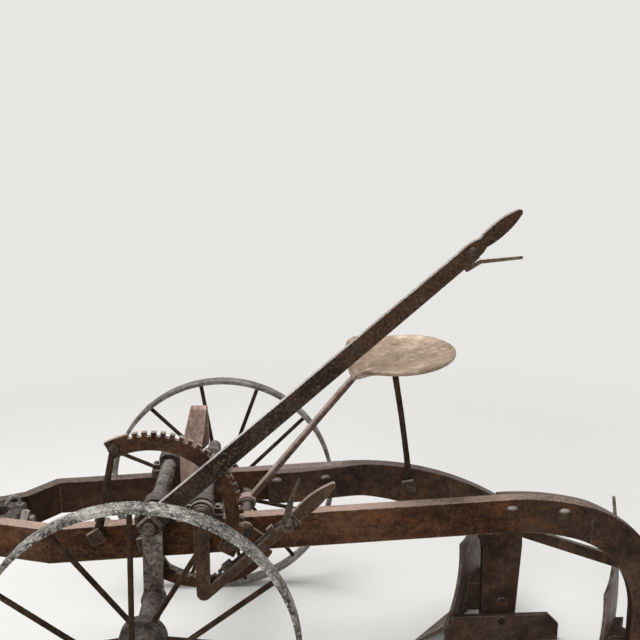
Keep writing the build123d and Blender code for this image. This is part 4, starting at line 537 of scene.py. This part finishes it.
def seat_pan():
    """Pressed pan: a dented dish with a rolled rim and a tongue over the front strut."""
    low, high = (Vector(corner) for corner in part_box("seat_pan"))
    middle, half = (low + high) / 2, (high - low) / 2

    def height(x, y):
        """Top of the pan, as the CAD pan has it: a dish that drops to a lip in front."""
        u, v = (x - middle.x) / half.x, (y - middle.y) / half.y
        forward = min(max((-u - LIP_FROM) / (1 - LIP_FROM), 0.0), 1.0)
        lip = LIP_DROP * forward ** 2 * (3 - 2 * forward) * math.exp(-(2.5 * v + 0.5) ** 2)
        dish = DISH_DEPTH * (1 - min(u * u + v * v, DISH_EDGE))
        return PAN_TOP + PAN_SLOPE * (x - middle.x) - dish - lip

    rings = []
    for share, rise in PAN_RINGS:
        ring = []
        for k in range(PAN_POINTS):
            angle = 2 * math.pi * k / PAN_POINTS
            c, d, reach = pan_outline(angle)
            worn = 1 - 0.004 * (1 + math.sin(5 * angle + 0.6))
            x = middle.x + half.x * c * reach * share * worn
            y = middle.y + half.y * d * reach * share * worn
            dent = PAN_DENT * math.sin(170 * x + 1.2) * math.sin(140 * y + 0.5) * (1 - share ** 2)
            ring.append(Vector((x, y, height(x, y) + (rise + dent) * MM)))
        rings.append(ring)
    piece = mesh_piece("seat_sheet", rings)
    dress(piece, "frame", "seat_metal")
    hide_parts("seat_pan")


EYE_INNER, EYE_OUTER, EYE_HALF = 3.3 * MM, 6.2 * MM, 4.0 * MM
# the front strut in mm: rearwards and up from its eye, half width, half thickness
FRONT_STATIONS = (
    (3.4, 4.0, 2.4, 2.3), (9.0, 10.9, 2.6, 2.5), (30.0, 36.4, 2.9, 2.6), (52.0, 63.2, 2.8, 2.5),
    (70.0, 85.0, 2.9, 2.6), (76.0, 92.0, 3.1, 2.4), (80.6, 96.6, 3.6, 1.7))


def front_strut():
    """Forged round-cornered bar from its eye on the stub bolt to the pan's tongue."""
    low, high = (Vector(corner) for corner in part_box("seat_front_strut"))
    eye = Vector((low.x + EYE_OUTER, (low.y + high.y) / 2, low.z + EYE_OUTER))
    stations = [(eye + Vector((along, 0, up)) * MM, wide * MM, thick * MM)
                for along, up, wide, thick in FRONT_STATIONS]
    bar = forged_bar("strut_bar", stations, (0, 1, 0), power=2.5)
    ring = eye_ring("strut_eye", eye, EYE_INNER, EYE_OUTER, EYE_HALF)
    piece = joined((bar, ring), "front_strut")
    dress(piece, "frame", "strut_front")
    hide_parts("seat_front_strut")


# the rear strut in mm: offset from its head or foot, half width, half thickness
HEAD_STATIONS = (((0, 0, 0), 3.0, 1.6), ((0.8, 1.4, -7), 2.3, 1.6))
FOOT_STATIONS = (
    ((-1.8, -1.9, 30), 2.3, 1.5), ((-0.6, -0.5, 18), 2.9, 1.4), ((0, 0, 10), 4.3, 1.4),
    ((0, 0, 5), 4.7, 1.4), ((0, 0, 0.8), 3.0, 1.3))
KNEE = (-1.5, -1.8, 30)     # the strap's middle lies halfway from the head to here
PAD_STATIONS = ((-5.4, 3.2), (-2.5, 5.0), (1.5, 5.2), (5.4, 3.4))     # rearwards, half width
PAD_HALF_THICKNESS = 1.1
FOOT_INSET = (5.0, 1.5)     # the foot's middle, in from the CAD strut's rear and right
HEAD_INSET = (6.0, 8.0, 2.6)    # the head's middle, in from its front, left and top


def rear_strut():
    """Thin forged strap from the pan's underside to a rounded foot on the right beam."""
    low, high = (Vector(corner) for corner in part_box("seat_rear_strut"))
    foot = Vector((high.x - FOOT_INSET[0] * MM, high.y - FOOT_INSET[1] * MM, low.z))
    head = Vector((
        low.x + HEAD_INSET[0] * MM, low.y + HEAD_INSET[1] * MM, high.z - HEAD_INSET[2] * MM))

    def stations(start, table):
        return [(start + Vector(offset) * MM, wide * MM, thick * MM) for offset, wide, thick in table]

    knee = (head.lerp(foot + Vector(KNEE) * MM, 0.5), 2.2 * MM, 1.5 * MM)
    leg = stations(head, HEAD_STATIONS) + [knee] + stations(foot, FOOT_STATIONS)
    strap = forged_bar("strut_strap", leg, (1, 0, 0), power=3.4)
    pad_table = [((along, -0.6, 0.6), wide, PAD_HALF_THICKNESS) for along, wide in PAD_STATIONS]
    pad = forged_bar("strut_pad", stations(head, pad_table), (0, 1, 0))
    piece = joined((strap, pad), "rear_strut")
    dress(piece, "frame", "strut_rear")
    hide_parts("seat_rear_strut")


seat_pan()
front_strut()
rear_strut()

# ---- floor, light, camera ---------------------------------------------------------
PAPER = (0.80, 0.79, 0.77)      # the pale studio paper, as the camera sees it
PAPER_FADE = (0.35, 0.95)       # where its shading gives way to that colour, in metres


def paper_material():
    """Matt pale paper that melts, far from the object, into the colour behind it."""
    tree = Tree("paper")
    grain = tree.noise(9.0, 4, 0.5)
    tint = tree.mix(tree.math("MULTIPLY", grain, 0.08), (0.78, 0.77, 0.75), (0.66, 0.64, 0.61))
    tree.feed(tint, tree.shader.inputs["Base Color"])
    tree.shader.inputs["Roughness"].default_value = 0.9
    tree.shader.inputs["Specular IOR Level"].default_value = 0.1
    fibre = tree.add("ShaderNodeBump", {
        "Height": tree.noise(420.0, 3, 0.6), "Strength": 0.12, "Distance": 0.0005})
    tree.feed(fibre.outputs[0], tree.shader.inputs["Normal"])
    glow = tree.add("ShaderNodeEmission", {"Color": rgba(PAPER)})
    reach = tree.add("ShaderNodeVectorMath", {0: tree.place}, operation="LENGTH").outputs["Value"]
    path = tree.add("ShaderNodeLightPath").outputs
    seen = tree.math("MAXIMUM", path["Is Camera Ray"], path["Is Glossy Ray"])
    seen = tree.math("MAXIMUM", seen, path["Is Transmission Ray"])
    far = tree.math("MULTIPLY", tree.step(reach, *PAPER_FADE), seen)
    blend = tree.add("ShaderNodeMixShader", {0: far, 1: tree.shader.outputs[0], 2: glow.outputs[0]})
    tree.feed(blend.outputs[0], tree.nodes["Material Output"].inputs["Surface"])
    return tree.material


FLOOR_HALF = 8.0
mesh = bpy.data.meshes.new("floor")
corners = [(-FLOOR_HALF, -FLOOR_HALF, 0), (FLOOR_HALF, -FLOOR_HALF, 0),
           (FLOOR_HALF, FLOOR_HALF, 0), (-FLOOR_HALF, FLOOR_HALF, 0)]
mesh.from_pydata(corners, [], [(0, 1, 2, 3)])
floor = bpy.data.objects.new("floor", mesh)
bpy.context.scene.collection.objects.link(floor)
floor.data.materials.append(paper_material())


def area_light(name, place, size, power):
    """Rectangular light that shines on the target."""
    data = bpy.data.lights.new(name, "AREA")
    data.shape = "RECTANGLE"
    data.size, data.size_y = size
    data.energy = power
    lamp = bpy.data.objects.new(name, data)
    lamp.location = place
    lamp.rotation_euler = (Vector(LIGHT_TARGET) - Vector(place)).to_track_quat("-Z", "Y").to_euler()
    bpy.context.scene.collection.objects.link(lamp)


LIGHT_TARGET = (0.0, 0.0, 0.12)
area_light("key", (-0.35, 0.15, 1.5), (0.8, 0.8), 18.0)
area_light("front", (-0.6, -1.5, 1.0), (0.8, 0.8), 11.0)
area_light("side", (1.5, 0.3, 0.8), (0.8, 1.0), 4.0)
AMBIENT = (0.84, 0.83, 0.82)
AMBIENT_STRENGTH = 0.38


def studio_world():
    """Even soft light all round; behind the object the camera sees the paper's own colour."""
    world = bpy.data.worlds.new("studio")
    world.use_nodes = True
    nodes, links = world.node_tree.nodes, world.node_tree.links
    ambient = nodes["Background"]
    ambient.inputs["Color"].default_value = rgba(AMBIENT)
    ambient.inputs["Strength"].default_value = AMBIENT_STRENGTH
    seen = nodes.new("ShaderNodeBackground")
    seen.inputs["Color"].default_value = rgba(PAPER)
    path = nodes.new("ShaderNodeLightPath").outputs
    glossy, either = nodes.new("ShaderNodeMath"), nodes.new("ShaderNodeMath")
    for node in (glossy, either):
        node.operation = "MAXIMUM"
    links.new(path["Is Camera Ray"], glossy.inputs[0])
    links.new(path["Is Glossy Ray"], glossy.inputs[1])
    links.new(glossy.outputs[0], either.inputs[0])
    links.new(path["Is Transmission Ray"], either.inputs[1])
    mix = nodes.new("ShaderNodeMixShader")
    links.new(either.outputs[0], mix.inputs[0])
    links.new(ambient.outputs[0], mix.inputs[1])
    links.new(seen.outputs[0], mix.inputs[2])
    links.new(mix.outputs[0], nodes["World Output"].inputs["Surface"])
    return world


bpy.context.scene.world = studio_world()

CAMERA_PLACE = (-0.01742, -0.55732, 0.4071)
CAMERA_PITCH = 12.75        # degrees below the horizontal
CAMERA_YAW = 3.0            # degrees towards the rear
CAMERA_LENS, CAMERA_SENSOR = 45.0, 36.0     # mm
camera_data = bpy.data.cameras.new("camera")
camera_data.lens = CAMERA_LENS
camera_data.sensor_width = CAMERA_SENSOR
camera_data.clip_start = 0.01
camera = bpy.data.objects.new("camera", camera_data)
camera.location = CAMERA_PLACE
camera.rotation_euler = (math.radians(90 - CAMERA_PITCH), 0, math.radians(-CAMERA_YAW))
bpy.context.scene.collection.objects.link(camera)
bpy.context.scene.camera = camera
bpy.context.scene.view_settings.view_transform = "Standard"
